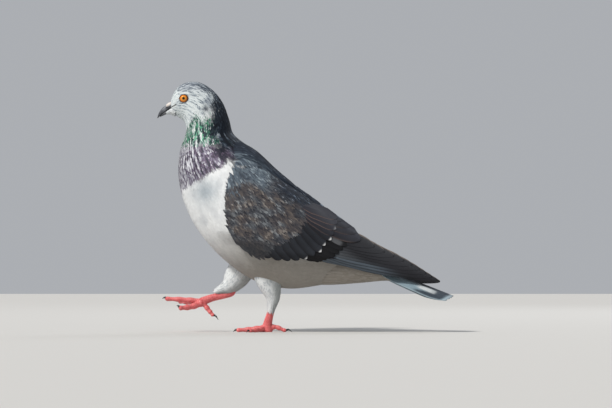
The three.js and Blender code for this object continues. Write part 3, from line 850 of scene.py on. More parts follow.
def knuckled(point):
    """A toe's tube with pads: its surface swells by 0.28 mm at each of three joints, as a cosine along
    it."""

    def swollen(t, angle, lift):
        return point(t, angle, lift + 0.28 * np.cos(2 * np.pi * 3 * t) * (t > 0) * (t < 1.01))

    return swollen


FOOT_BALLS = {"left": (-36.2, -1.8, 4.2), "right": (-97.6, 10.3, 27.9)}
trunk_skin = closed_mesh("trunk_skin", *closed_tube(body_skin, 150, 96, cap=0.012))
leg_skins = {}
for name in SIDES:
    tubes = [closed_mesh("thigh_skin", *closed_tube(tube(THIGHS[name]), 40, 40, lift=-0.7, cap=0.05))]
    tubes.append(closed_mesh("shank_skin", *closed_tube(tube(SHANKS[name]), 50, 32, cap=0.07)))
    for stops, *_ in TOES[name]:
        tubes.append(closed_mesh("toe_skin", *closed_tube(knuckled(tube(stops)), 40, 24, cap=0.06)))
    heel = np.array(FOOT_BALLS[name])
    ball = [(*(heel + [2, 0, 0.6]), 3.6, 3.6), (*heel, 4.1, 4.6), (*(heel - [2.4, 0, -0.2]), 3.4, 4.4)]
    tubes.append(closed_mesh("ball_skin", *closed_tube(tube(ball), 12, 24, cap=0.4)))
    leg_skins[name] = finished(tubes, *melting(0.5, 4))
    print(name, "leg skin:", len(leg_skins[name].polygons), "faces")

# %% [markdown]
# The union of body and legs is one mesh. Each of its points belongs to the limb whose path passes
# nearest, measured in that limb's own radii. That gives every point of a foot its place along and around
# its toe, in millimetres, which the material needs to draw the scales.

# %% One skin


def joined_skin():
    """The body's skin united with both legs by the exact boolean."""
    helper = bpy.data.objects.new("helper", trunk_skin)
    bpy.context.collection.objects.link(helper)
    cutters = []
    for mesh in leg_skins.values():
        cutter = bpy.data.objects.new("cutter", mesh)
        bpy.context.collection.objects.link(cutter)
        union = helper.modifiers.new("union", "BOOLEAN")
        union.operation, union.solver, union.object = "UNION", "EXACT", cutter
        cutters.append(cutter)
    graph = bpy.context.evaluated_depsgraph_get()
    made = bpy.data.meshes.new_from_object(helper.evaluated_get(graph))
    for used in [helper, *cutters]:
        bpy.data.objects.remove(used)
    return made


def place_on_limb(points, stops, samples=60):
    """For each point: its distance from a limb's path over the limb's radius there, its t along the limb
    and its angle round it. From the nearest sample of the path it moves on by how far the point lies
    ahead."""
    t = np.linspace(0, 1, samples)
    path = path_point(stops, t)
    forward, up, across = limb_frame(stops, t)
    radius = series(np.array(stops)[:, 3], t)
    away = np.linalg.norm(points[:, None] - path[None], axis=-1) / radius
    i = away.argmin(1)
    offset = points - path[i]
    gap = np.linalg.norm(path[1] - path[0]) * (samples - 1)
    along = t[i] + np.clip(dot(offset, forward[i]) / gap, -0.6 / samples, 0.6 / samples)
    angle = np.arctan2(dot(offset, across[i]), dot(offset, up[i]))
    return away[np.arange(len(points)), i], np.clip(along, 0, 1), angle


skin_mesh = joined_skin()
SKIN = points_of(skin_mesh)
# The skin is pressed in round the eye, so that it ends behind the ball's front.
far = np.hypot(SKIN[:, 0] - EYE[0], SKIN[:, 2] - EYE[2])
socket = EYE[1] + np.sqrt(np.maximum(0, EYE_RADIUS**2 - far**2)) - 0.5
pressed = (far < 4.9) & (np.abs(SKIN[:, 1]) > 5)
SKIN[pressed, 1] = (np.sign(SKIN[:, 1]) * np.minimum(np.abs(SKIN[:, 1]), np.maximum(socket, 9.0)))[pressed]
skin_mesh.vertices.foreach_set("co", (SKIN * MM).astype(np.float32).ravel())
print("skin:", len(SKIN), "points,", len(skin_mesh.polygons), "faces")

LIMBS, BARE = [], []  # the stops of every limb, and whether its skin shows
for name in SIDES:
    LIMBS += [THIGHS[name], SHANKS[name]] + [toe[0] for toe in TOES[name]]
    BARE += [False, True] + [True] * 4
BARE = np.array(BARE)


def chart(p, q):
    """The place of (p, q), both 0 to 1, on an OFBake map that one surface fills, inside a margin."""
    return np.stack([0.02 + 0.96 * p, 0.02 + 0.96 * q], -1)


def body_chart(t, share_round):
    """The same for the body, which has the upper part of the skin's map."""
    return np.stack([0.02 + 0.96 * t, 0.32 + 0.64 * share_round], -1)


def limb_chart(number, share_round, along):
    """The same for a limb: the limbs stand side by side in the lower part."""
    return np.stack([0.02 + 0.08 * (number + 0.5) + 0.055 * share_round, 0.02 + 0.26 * along], -1)


def about(angle, centre):
    """The angle turned by whole turns until it lies within half a turn of a centre."""
    return centre + (angle - centre + np.pi) % (2 * np.pi) - np.pi


def skin_maps():
    """Works out where each point of the skin lies, and from that the skin's two maps and which faces are
    bare. All corners of a face are placed on the limb of its first one, so no face is stretched across
    two charts."""
    near_limbs = SKIN[:, 2] < 90
    reach = np.full((len(LIMBS), len(SKIN)), 9.0)
    along, angle = np.zeros_like(reach), np.zeros_like(reach)
    for k, stops in enumerate(LIMBS):
        places = place_on_limb(SKIN[near_limbs], stops)
        reach[k, near_limbs], along[k, near_limbs], angle[k, near_limbs] = places
    # Scales win over feathered skin near the border, so that it lies hidden under the last feathers.
    nearest = (reach * np.where(BARE, 0.85, 1.0)[:, None]).argmin(0)
    owner = np.where((reach.min(0) < 1.25) | (SKIN[:, 2] < 34), nearest, -1)
    t, a = body_place(SKIN)
    loops = np.empty(len(skin_mesh.loops), int)
    skin_mesh.loops.foreach_get("vertex_index", loops)
    counts = np.empty(len(skin_mesh.polygons), int)
    skin_mesh.polygons.foreach_get("loop_total", counts)
    starts = np.r_[0, np.cumsum(counts)[:-1]]
    first = np.repeat(loops[starts], counts)  # for each corner, the first point of its face
    limb = owner[first]
    safe = np.maximum(limb, 0)
    turn = about(angle[safe, loops], angle[safe, first])
    share = along[safe, loops]
    on_body = body_chart(t[loops], np.clip(about(a[loops], a[first]) / (2 * np.pi), -0.02, 1.02))
    on_limb = limb_chart(safe, np.clip(turn / (2 * np.pi), -0.6, 0.6), share)
    bake = np.where(limb[:, None] < 0, on_body, on_limb)
    stops = [np.array(rows, float) for rows in LIMBS]
    radius = np.array([rows[:, 3].mean() for rows in stops])[safe]
    length = np.array([np.linalg.norm(np.diff(rows[:, :3], axis=0), axis=1).sum() for rows in stops])[safe]
    scale_map = np.stack([turn * radius, share * length], -1)
    bare = (limb >= 0) & BARE[safe]
    return t, a, owner, bake, scale_map, bare[starts]


skin_t, skin_a, skin_owner, skin_bake, skin_scales, skin_bare = skin_maps()
for title, values in (("OFBake", skin_bake), ("Vane", skin_scales)):
    skin_mesh.uv_layers.new(name=title)
    skin_mesh.uv_layers[title].data.foreach_set("uv", values.ravel())
skin_coat = body_coat(SKIN, skin_t, skin_a, default_rng(SKIN_SEED))[0]
on_leg = (skin_owner >= 0)[:, None]
# under the feathers the skin wears the coat's colours at 0.8, painted shade for where it shows between them
paint(skin_mesh, np.where(on_leg, colour("DCDDDC"), skin_coat * 0.8))
print("bare faces of the feet:", int(skin_bare.sum()))

# %% [markdown]
# ## Scales of the feet
#
# A pigeon's foot is coral red and scaly: broad plates down the front of the shank and along the top of each
# toe, small round scales behind and beneath. The Vane map on the skin holds millimetres around and along each
# toe. The plates are drawn by how far a point lies from the middle of its plate, and the small scales by a
# cell pattern. Both are raised by bump, and their coral is paler on top and dark red in the grooves, a
# painted light and shade of that relief.

# %% Material of the feet
FOOT_SKIN, tree, shader = new_material("scaly_foot", 0.46, Subsurface_Weight=0.12, Subsurface_Scale=0.001)
shader.inputs["Subsurface Radius"].default_value = (1.0, 0.3, 0.2)
vane = add_node(tree, "ShaderNodeUVMap", uv_map="Vane")
split = add_node(tree, "ShaderNodeSeparateXYZ", {0: vane.outputs["UV"]})
# Plates: the distance along, cut into lengths of 1.9 mm, is 0 in a groove and 1 at a plate's middle.
aside = sums(tree, "ABSOLUTE", split.outputs["X"])
bow = sums(tree, "MULTIPLY", sums(tree, "POWER", aside, 2.0), 0.09)
bowed = sums(tree, "SUBTRACT", split.outputs["Y"], bow)
cut = sums(tree, "PINGPONG", bowed, 0.95)
plate = sums(tree, "POWER", sums(tree, "DIVIDE", cut, 0.95, clamp=True), 0.4)
# Small scales, from the distance to the edge of each cell.
cell_links = {"Vector": vane.outputs["UV"], "Scale": 1.15}
cells = add_node(tree, "ShaderNodeTexVoronoi", cell_links, feature="DISTANCE_TO_EDGE")
small = sums(tree, "POWER", sums(tree, "MULTIPLY", cells.outputs[0], 3.2, clamp=True), 0.5)
on_top = sums(tree, "SUBTRACT", 1.0, sums(tree, "SUBTRACT", aside, 2.6), clamp=True)
scale = add_node(tree, "ShaderNodeMix", {0: on_top, 2: small, 3: plate}, data_type="FLOAT").outputs[0]
place = add_node(tree, "ShaderNodeTexCoord")
blotch = noise(tree, place.outputs["Object"], 140.0, 4.0)
ramp = add_node(tree, "ShaderNodeValToRGB", {0: scale})
# painted light and shade of the relief: dark red in the grooves, paler on top of each scale
SCALE_TONES = [(0.0, "A93F43"), (0.4, "CB5558"), (0.75, "D96A6B"), (1.0, "E48A87")]
for index, (position, code) in enumerate(SCALE_TONES):
    stop = ramp.color_ramp.elements[index] if index < 2 else ramp.color_ramp.elements.new(position)
    stop.position = position
    stop.color = (*colour(code), 1)
shade = sums(tree, "MULTIPLY_ADD", blotch, 0.6, 0.72)
tree.links.new(product(tree, ramp.outputs[0], shade), shader.inputs["Base Color"])
bumped(tree, shader, scale, 0.00013)

skin_mesh.polygons.foreach_set("material_index", skin_bare.astype(int))
skin_mesh.polygons.foreach_set("use_smooth", np.ones(len(skin_mesh.polygons), bool))
leg_parts = ["thigh", "shank", *(f"{toe}_toe" for toe in TOE_NAMES)]
leg_nodes = [f"{part}_{side}" for side in SIDES for part in leg_parts]
add_piece("skin", skin_mesh, [SOFT, FOOT_SKIN], "leg_skin", "head", "neck", "trunk", *leg_nodes)

# %% [markdown]
# ## How a feather is laid
#
# A contour feather is a small curved blade: narrow at its buried root, widest past the middle, and frayed
# at the tip. Thousands are made at once. Each root is a place on a surface, and a direction there says
# which way the feather lies. The surface's own slopes turn millimetres along and across the feather into
# steps on the surface, so that the blade follows the body's curve. It rises from the skin at the root to
# the outline at the tip, and so feathers further forward lie on top of those behind them.

# %% The feather layer
# Shares of the length at which a blade is cut across, and its half width there.
CONTOUR = np.array([[0.0, 0.35], [0.3, 0.85], [0.6, 1.0], [0.84, 0.8], [1.0, 0.4]])
COLUMNS = np.array([-1.0, -0.5, 0.0, 0.5, 1.0])
# The smallest feathers have fewer faces.
SMALL = np.array([[0.0, 0.4], [0.45, 0.95], [0.8, 0.8], [1.0, 0.2]])
SMALL_COLUMNS = np.array([-1.0, 0.0, 1.0])


def lie(surface, p, q, step=2e-3):
    """The way in which p grows over a surface, as vectors of length 1."""
    none = np.zeros(len(p))
    return unit(surface(p + step, q, none) - surface(p - step, q, none))


def lay_feathers(surface, p, q, heading, length, width, depth, lift, draw, small=False, fray=0.04):
    """Blades rooted at (p, q) of a surface. A point l mm along and m mm across the blade is the surface
    at the root's place plus l and m times the steps that go one mm that way. Its height is -depth at the
    root and rises to lift at the tip as -depth (1 - s)^4 + lift s, less a camber of m^2. The steps come
    from the surface's slopes P and Q: they solve P dp + Q dq = heading. facing is the way the surface
    itself faces, and (p, q) of the result is where on the surface the blade's free end lies."""
    shape, columns = (SMALL, SMALL_COLUMNS) if small else (CONTOUR, COLUMNS)
    nudge, none = 1e-3, np.zeros(len(p))
    along_p = (surface(p + nudge, q, none) - surface(p - nudge, q, none)) / (2 * nudge)
    along_q = (surface(p, q + nudge, none) - surface(p, q - nudge, none)) / (2 * nudge)
    normal = unit(surface(p, q, none + 1) - surface(p, q, none))
    ahead = unit(heading - normal * dot(heading, normal)[:, None])
    side = np.cross(normal, ahead)
    pp, pq, qq = dot(along_p, along_p), dot(along_p, along_q), dot(along_q, along_q)
    area = np.maximum(pp * qq - pq * pq, 1e-6)

    def steps(way):
        by_p, by_q = dot(way, along_p), dot(way, along_q)
        return (by_p * qq - by_q * pq) / area, (by_q * pp - by_p * pq) / area

    (p_ahead, q_ahead), (p_side, q_side) = steps(ahead), steps(side)
    share, half = shape[:, 0], shape[:, 1]
    length, width, depth, lift = (v[:, None, None] for v in (length, width, depth, lift))
    s = share[:, None]
    l = length * s * np.ones_like(columns)
    l[:, -1] *= 1 - 0.05 * columns**2 + np.clip(draw.normal(0, fray, (len(p), len(columns))), -0.08, 0.15)
    m = width / 2 * half[:, None] * columns
    height = -depth * (1 - s) ** 4 + lift * s - 0.1 * m**2 / width
    wide = [v[:, None, None] for v in (p, q, p_ahead, q_ahead, p_side, q_side)]
    P, Q = wide[0] + wide[2] * l + wide[4] * m, wide[1] + wide[3] * l + wide[5] * m
    at = surface(P, Q, np.zeros_like(P))
    facing = surface(P, Q, np.ones_like(P)) - at
    middle = len(columns) // 2
    made = at + facing * height[..., None]
    return dict(at=made, facing=facing, height=height, l=l, m=m, p=P[:, -2, middle], q=Q[:, -2, middle])


def kept(blades, mask):
    """The blades that a mask keeps."""
    return {key: values[mask] for key, values in blades.items()}


def coat_normals(blades, own=0.3):
    """Which way each point of a coat is shaded: mostly the way the body under it faces, plus a share of
    its own blade's, so that the coat reads as one soft form."""
    at = blades["at"]
    blade = unit(np.cross(np.gradient(at, axis=1), np.gradient(at, axis=2)))
    blade *= np.sign(dot(blade, blades["facing"]))[..., None]
    return unit(blades["facing"] + own * blade)


PATCH = 0.003  # the part of the OFBake map that a small feather takes, each way
FRINGE_FROM = 0.8  # the share of the way to a vane's edge where its fringe sets in


def vanes_mesh(name, blades, root_map, coat, gloss, shade=(0.8, 1.0), fringe=None):
    """One mesh of many blades. Each has a small patch of the OFBake map, at its root's place. Its colour runs
    from dark at the root to full at the tip: painted shade where a blade lies under its neighbours, and on
    the neck also the feathers' own dark bases. At its edge it turns to the fringe's colour."""
    l, m = blades["l"], blades["m"]
    count, rows, columns = l.shape
    s = l / l.max((1, 2), keepdims=True)
    across = np.linspace(-1, 1, columns) * np.ones_like(s)
    patch = root_map[:, None, None, :] + PATCH / 2 * np.stack([across, 2 * s - 1], -1)
    # painted shade towards the root, where the blade lies under others
    tint = coat[:, None, None, :] * mix(shade[0], shade[1], s**0.7)[..., None]
    if fringe is not None:
        edge = np.maximum(s**1.5, np.abs(across) ** 2 * ease(0.2, 0.6, s))
        tint = blend(tint, fringe[:, None, None, :], ease(FRINGE_FROM, 1.0, edge))
    maps = {"OFBake": patch.reshape(-1, 2), "Vane": pairs(m, l)}
    mesh = mesh_from(name, blades["at"], blade_faces(count, rows, columns), maps=maps)
    paint(mesh, tint, np.repeat(gloss, rows * columns))
    facing = mesh.attributes.new("custom_normal", "FLOAT_VECTOR", "POINT")
    facing.data.foreach_set("vector", coat_normals(blades).astype(np.float32).ravel())
    return mesh


def scatter(surface, p_range, q_range, spacing, draw, tries=9):
    """Places spread evenly over part of a surface. Random places, as dense everywhere, fall into small
    cubes of the given spacing, and each cube keeps the first one."""
    cells = 59
    P, Q = np.meshgrid(np.linspace(*p_range, cells + 1), np.linspace(*q_range, cells + 1), indexing="ij")
    net = surface(P, Q, np.zeros_like(P))
    corner = net[:-1, :-1]
    area = np.linalg.norm(np.cross(net[1:, :-1] - corner, net[:-1, 1:] - corner), axis=-1)
    count = int(area.sum() / spacing**2 * tries)
    pick = draw.choice(area.size, count, p=(area / area.sum()).ravel())
    i, j = np.unravel_index(pick, area.shape)
    p = p_range[0] + (i + draw.random(count)) / cells * (p_range[1] - p_range[0])
    q = q_range[0] + (j + draw.random(count)) / cells * (q_range[1] - q_range[0])
    cubes = np.floor(surface(p, q, np.zeros(count)) / spacing).astype(int)
    _, first = np.unique(cubes @ np.array([1, 1000, 1000000]), return_index=True)
    return p[first], q[first]


print("one blade has", 2 * (len(CONTOUR) - 1) * (len(COLUMNS) - 1), "triangles")

# %% [markdown]
# ## The coat of the body
#
# The tracts follow one another from the bill to the tail. Feathers are tiny round the bill and the eye,
# slim on the neck, where each pale tip shows as a streak, and broad on the breast and belly. None grow
# under the wing or in the eye. In front of the wing they are pushed out over its rim, because a pigeon
# tucks the wrist of its folded wing into the feathers of the breast.

# %% Feathers of head, neck, breast, belly and back


def eye_distance(points):
    """Distance in side view from the eye's middle. Points near the middle plane count as far."""
    away = np.hypot(points[..., 0] - EYE[0], points[..., 2] - EYE[2])
    return np.where(np.abs(points[..., 1]) < 5, 99, away)


def under_wing(x, y, z):
    """How far inside the wing's outline a point lies in side view, as u and w, and whether the wing is
    there."""
    u, w = wing_place(x, z)
    return u, w, (u > 0) & (u < 1) & (w > 0) & (w < 1) & (np.abs(y) > 3)


# The wing's front edge in side view, from the wrist's top down and back along the lower edge: its height, how
# far back it lies, how far its face stands proud of the flank, and the cosine of its slope.
OVER_WING = 0.45  # the depth in mm of the coat that lies on the wing's rim
edge_w = np.r_[np.linspace(0.02, 1, 30), np.ones(20)]
edge_u = np.r_[np.zeros(30), np.linspace(0.015, 0.3, 20)]
edge_x, edge_z = wing_side_view(edge_u, edge_w)
edge_rise = read_grid(OUTER_FACE, edge_u, edge_w) + OVER_WING - body_reach(edge_x, edge_z)
edge_rise = np.clip(edge_rise, 0, 7.5)
edge_rise = np.convolve(np.pad(edge_rise, 4, mode="edge"), np.ones(9) / 9, mode="valid")
edge_cos = 1 / np.hypot(1, np.gradient(edge_x) / np.gradient(edge_z))
RIM_Z, RIM_X, RIM_RISE, RIM_COS = (values[::-1] for values in (edge_z, edge_x, edge_rise, edge_cos))
print("the coat climbs", RIM_RISE.min().round(1), "to", RIM_RISE.max().round(1), "mm over the wing's edge")


def before_rim(x, z):
    """How many mm a point lies in front of the wing's front edge in side view, minus over the wing: the
    way straight back to the edge times the cosine of the edge's slope."""
    return (np.interp(z, RIM_Z, RIM_X) - x) * np.interp(z, RIM_Z, RIM_COS)


def beside_wrist(z):
    """1 at the heights where the coat drapes over the wing, fading to 0 at the lower edge and the wrist's
    top."""
    return ease(80, 94, z) * ease(162, 152, z)


def swell(x, z):
    """How far the coat is pushed out in front of the wing: the rise at the rim, times an S-curve that
    sets in 16 mm before it."""
    return np.interp(z, RIM_Z, RIM_RISE) * ease(16, -1, before_rim(x, z)) * beside_wrist(z)


def draped(blades):
    """Blades near the wing's front are lifted over its rim, and those that reach over it onto its face.
    Their shading turns with the slope of the swelling, measured over half a millimetre."""
    x, y, z = (blades["at"][..., k] for k in range(3))
    flank = np.abs(y) > 8
    lift = swell(x, z)
    over = flank & (before_rim(x, z) < 0) & (z > 80) & (z < 162)
    u, w = wing_place(x[over], z[over])
    ground = np.abs(y - blades["facing"][..., 1] * blades["height"])[over]
    face = read_grid(OUTER_FACE, np.clip(u, 0, 1), np.clip(w, 0, 1)) + OVER_WING - ground
    lift[over] = np.maximum(face * beside_wrist(z[over]), 0)
    blades["at"][..., 1] = y + np.sign(y) * lift * flank
    slope_x = (swell(x + 0.25, z) - swell(x - 0.25, z)) * 2
    slope_z = (swell(x, z + 0.25) - swell(x, z - 0.25)) * 2
    tilt = np.stack([slope_x, 0 * slope_x, slope_z], -1) * np.abs(blades["facing"][..., 1:2])
    blades["facing"] = unit(blades["facing"] - tilt * flank[..., None])
    return blades


def shortened(root, heading, long, draw):
    """Blades that point over the wing's front edge end in a ragged line up to 3.4 mm past it: the way
    left is the gap to the edge plus the overlap, over the rate of approach."""
    gap = before_rim(root[:, 0], root[:, 2])
    tip = root + 3 * heading
    rate = (gap - before_rim(tip[:, 0], tip[:, 2])) / 3
    room = (gap + draw.uniform(0.1, 3.4, len(gap))) / np.maximum(rate, 0.3)
    flank = (np.abs(root[:, 1]) > 8) & (root[:, 2] > 74) & (root[:, 2] < 160)
    held = flank & (rate > 0.05) & (gap < 16)
    return np.where(held, np.minimum(long, room), long)


def body_tract(name, rows, spacing, length, width, lift, seed, shade=(0.75, 1.0), **look):
    """One tract of the body between two rows of BODY: scattered roots, laid towards the tail. length and
    width are each a pair of lists, rows and the sizes there."""
    t_range = (rows[0] / BODY_ROWS, rows[1] / BODY_ROWS)
    draw = default_rng(seed)
    t, a = scatter(body, t_range, (0, 2 * np.pi), spacing, draw)
    root = body(t, a, 0 * t)
    u, w, inside = under_wing(*root.T)
    edge = np.where(u > 0.3, 0.86, 1.0)
    hidden = inside & (u > 0.004) & (w > 0.04) & (w < edge) & (np.abs(root[:, 1]) > 4)
    heading = unit(lie(body, t, a) + draw.normal(0, 0.1, (len(t), 3)))
    row = t * BODY_ROWS
    size = draw.uniform(0.85, 1.15, len(t))
    full, broad = (np.interp(row, *values) * size for values in (length, width))
    long = shortened(root, heading, full, draw)
    shown = ~hidden & (eye_distance(root) > 4.3) & (long > 2.2)
    t, a, root, heading = (v[shown] for v in (t, a, root, heading))
    long, full, broad = (v[shown] for v in (long, full, broad))
    # Near the wing they are slimmer, so that its ragged rim is fine.
    fine = ease(12, 2, before_rim(root[:, 0], root[:, 2])) * ease(70, 90, root[:, 2])
    fine = fine * (np.abs(root[:, 1]) > 8)
    broad = broad * np.clip(long / full, 0.3, 1) ** 0.6 * (1 - 0.45 * fine)
    rise = lift * draw.uniform(0.2, 1.4, len(t))
    blades = lay_feathers(body, t, a, heading, long, broad, coat_depth(t), rise, draw, **look)
    clear = eye_distance(blades["at"]).min((1, 2)) > 4.0
    blades, t, a, root = kept(blades, clear), t[clear], a[clear], root[clear]
    front = (root[:, 0] < -38) & (root[:, 2] > 72) & (root[:, 2] < 172)
    pushed = draped(kept(blades, front))
    for key in ("at", "facing"):
        blades[key][front] = pushed[key]
    coat, gloss = body_coat(body(blades["p"], blades["q"], 0 * t), blades["p"], blades["q"], draw)
    mesh = vanes_mesh(name, blades, body_chart(t, a / (2 * np.pi)), coat, gloss, shade=shade)
    add_piece(name, mesh, [SOFT], "plumage_body")


HEAD = dict(length=([0, 1, 2, 3, 4, 5], [2.3, 3.1, 4.2, 5.2, 6.0, 6.6]),
            width=([0, 1, 2, 3, 4, 5], [0.6, 0.7, 0.85, 1.0, 1.1, 1.2]), small=True)
body_tract("face_feathers", (0.032, 2.6), 0.53, lift=0.04, seed=21, shade=(0.96, 1.0), **HEAD)
body_tract("head_feathers", (2.5, 4.8), 0.68, lift=0.05, seed=24, shade=(0.94, 1.0), **HEAD)

# The chin: feathers reach forward along the lower bill, further below than at the gape.
CHIN = np.array([[-131.4, 207.6, -132.6, 204.7, 2.5], [-129.4, 209.2, -130.2, 205.0, 3.4],
                 [-127.4, 210.9, -127.6, 205.0, 4.3], [-124.4, 212.6, -124.6, 203.6, 5.9]])
chin = raised(ovals(CHIN))
draw = default_rng(26)
t, a = scatter(chin, (0, 0.98), (0.32 * np.pi, 1.68 * np.pi), 0.55, draw)
heading = unit(lie(chin, t, a) + draw.normal(0, 0.1, (len(t), 3)))
size = draw.uniform(0.8, 1.2, len(t))
depth = np.full(len(t), 0.5)
blades = lay_feathers(chin, t, a, heading, 1.9 * size, 0.6 * size, depth, 0.08 * size, draw, small=True)
lies = chin(blades["p"], blades["q"], 0 * t)
coat, gloss = body_coat(lies, 0 * t, blades["q"], draw)
coat = blend(coat, "E6E8E9", 0.6)
# On the map they stand in the margin just before the body's chart.
place = body_chart((t - 0.9) / 96, a / (2 * np.pi))
mesh = vanes_mesh("chin_feathers", blades, place, coat, gloss, shade=(0.86, 1.0))
add_piece("chin_feathers", mesh, [SOFT], "plumage_body")

NECK = dict(length=([4, 6, 8, 9], [6, 8, 10, 11.5]), width=([4, 6, 8, 9], [1.1, 1.35, 1.7, 2.1]), small=True)
body_tract("neck_feathers", (4.3, 8.6), 1.02, lift=0.14, seed=22, shade=(0.6, 1.0), **NECK)
BREAST = dict(length=([8, 10, 12, 14, 16], [10, 12, 14, 15, 15]),
              width=([8, 10, 12, 14, 16], [2.4, 3.2, 4.2, 4.8, 4.8]), fray=0.07)
body_tract("breast_feathers", (8.2, 11.8), 1.75, lift=0.06, seed=23, shade=(0.97, 1.0), **BREAST)
body_tract("belly_feathers", (11.6, 15.76), 1.75, lift=0.06, seed=25, shade=(0.97, 1.0), **BREAST)

# %% [markdown]
# The thighs wear short, hair-like feathers down to the heel, and in front a little way down the shank.
# They are laid on the leg's own tube. The blades of the last row hang free over the scales.

# %% Feathers of the thighs
for number, name in enumerate(SIDES):
    draw = default_rng(40 + number)
    leg = tube(THIGHS[name])
    t, a = scatter(leg, (0.02, 0.985), (0, 2 * np.pi), 1.2, draw)
    none = np.zeros(len(t))
    heading = lie(leg, t, a) + draw.normal(0, 0.14, (len(t), 3))
    size = draw.uniform(0.8, 1.2, len(t))
    long, broad, rise = mix(8, 4.5, t) * size, mix(2.2, 1.2, t) * size, 0.2 * draw.uniform(0.2, 1.5, len(t))
    blades = lay_feathers(leg, t, a, heading, long, broad, 0.9 + none, rise, draw, small=True)
    grey = ease(0, 2, draw.normal(0, 1, len(t)) + speckle(leg(t, a, none), 12, 5))
    coat = blend(plain("E0E3E4", t.shape), "BFC4C8", grey)
    # painted shade: the rear side of each thigh is darkened to grey-green
    coat = blend(coat, "8A908F", 0.7 * ease(0.1, -0.8, np.cos(a)))
    place = limb_chart(6 * number, a / (2 * np.pi) - 0.5, t)
    mesh = vanes_mesh(f"thigh_feathers_{name}", blades, place, coat, none, shade=(0.86, 1.0))
    add_piece(f"thigh_feathers_{name}", mesh, [SOFT], "plumage_body")

# %% [markdown]
# ## The wing
#
# A folded wing is built from the inside out. A thin bed gives it body where no eye reaches. On it lie the
# flight feathers, long stiff blades with a shaft: ten primaries that make the tip, then the secondaries
# and the tertials. Over these lie the coverts, which grow larger from the wrist backwards. All are placed
# in side view, where their tips make the pattern that the eye reads, and the wing's face gives them their
# depth.

# %% Wing bed


def wing_bed(side, rows=50, columns=30):
    """A closed flat shell inside the wing: its outer side 2 mm under the wing's face or on the inner
    face, its inner side on the inner face, and both drawn in from the edges."""
    u = np.linspace(0.02, 0.86, rows)
    w = np.r_[np.linspace(0.05, 0.95, columns), np.linspace(0.95, 0.05, columns)]
    outer = np.r_[np.ones(columns), np.zeros(columns)]
    U, W = np.meshgrid(u, w, indexing="ij")
    W = 0.5 + (W - 0.5) * (1 - 0.35 * ease(0.45, 0.86, U))
    x, z = wing_side_view(U, W)
    inner, face = read_grid(INNER_FACE, U, W), read_grid(OUTER_FACE, U, W)
    y = np.where(outer[None] > 0, np.maximum(face - 2.0, inner + 0.2), inner)
    points = np.stack([x, side * y, z], -1)
    maps = {"OFBake": pairs(0.02 + 0.46 * U + 0.5 * outer, W), "Vane": pairs(x, z)}
    return points, grid_faces(rows, len(w), closed=True), maps


# %% [markdown]
# A flight feather is drawn along an axis from its root to its tip, which may bow a little, with a web on
# each side. Where it lies in the pile is its layer: so many millimetres under the wing's face. It has a
# strip of its own on the OFBake map, because it is large enough to carry its own pattern. Solidify then
# gives the vane its thickness.

# %% Flight feathers
SHAFT = 0.06  # half the shaft's width, as a share of the web's
FLIGHT_COLUMNS = np.array([-1.0, -0.9, -0.72, -0.4, -SHAFT, 0.0, SHAFT, 0.4, 0.72, 0.9, 1.0])


def flight_feathers(roots, tips, upper, lower, bow, layer, place, tilt=0.15, rows=26):
    """Blades in side view. The axis goes from root to tip with a bow of 4 s (1 - s). Across it, c from -1
    to 1 is scaled by the upper or lower web's width and the outline. place turns (x, z, layer) into
    points. A ridge of 0.25 mm marks the shaft. Each blade arches across by 0.1 c^2 and is tilted by tilt
    c, so that its lower edge lies on the next blade like a roof tile. Towards its root it sinks by 1.4 (1
    - s)^5 under its cover."""
    roots, tips = np.asarray(roots, float), np.asarray(tips, float)
    s = np.r_[np.linspace(0, 0.8, rows - 10), np.linspace(0.83, 1, 10)]
    half = (0.35 + 0.65 * ease(0, 0.4, s)) * (1 - 0.95 * np.clip((s - 0.66) / 0.34, 0, 1) ** 2.4) ** 0.7
    axis = unit(tips - roots)[:, None, None]
    towards_upper = np.stack([-axis[..., 1], axis[..., 0]], -1)
    length = np.linalg.norm(tips - roots, axis=1)
    length, upper, lower, bow, layer = (
        np.asarray(v, float)[:, None, None] for v in (length, upper, lower, bow, layer)
    )
    S, C = np.meshgrid(s, FLIGHT_COLUMNS, indexing="ij")
    across = -C * np.where(C < 0, upper, lower) * half[:, None]
    l = S * length * np.ones_like(across)
    arched = 4 * S * (1 - S) * bow
    made = roots[:, None, None] + axis * l[..., None] + towards_upper * (arched + across)[..., None]
    ridge = 0.25 * np.exp(-((C / SHAFT) ** 2)) * (1 - S)
    depth = ridge - layer - 0.1 * C**2 + tilt * C - 1.4 * (1 - S) ** 5
    return place(made[..., 0], made[..., 1], depth), l, -across


def flight_mesh(name, made, l, m, paint_rule):
    """A mesh of flight feathers. paint_rule gives the colour from (feather number, share of length, share
    across). Each feather is one upright strip of the OFBake map."""
    count, rows, columns = made.shape[:3]
    share = l / l.max((1, 2), keepdims=True)
    across = np.broadcast_to(FLIGHT_COLUMNS, l.shape)
    number = np.broadcast_to(np.arange(count)[:, None, None], l.shape)
    strip = chart((number + 0.5 + 0.42 * across) / count, share).reshape(-1, 2)
    faces = blade_faces(count, rows, columns)
    mesh = mesh_from(name, made, faces, maps={"OFBake": strip, "Vane": pairs(m, l)})
    paint(mesh, np.clip(paint_rule(number, share, across), 0.004, 0.9), gloss=0.0)
    return mesh


def turned_outwards(mesh, side):
    """Grids laid in side view face +Y or -Y according to their winding. On the side where that is inwards
    the faces are flipped."""

    def flip(work):
        work.normal_update()
        if sum(f.normal.y * f.calc_area() for f in work.faces) * side < 0:
            bmesh.ops.reverse_faces(work, faces=work.faces)

    return edited(mesh, flip)


def thickened(piece, thickness):
    """Gives a sheet its thickness, inwards from the face that shows."""
    solid = piece.modifiers.new("vane", "SOLIDIFY")
    solid.thickness, solid.offset, solid.use_rim = thickness * MM, -1, True


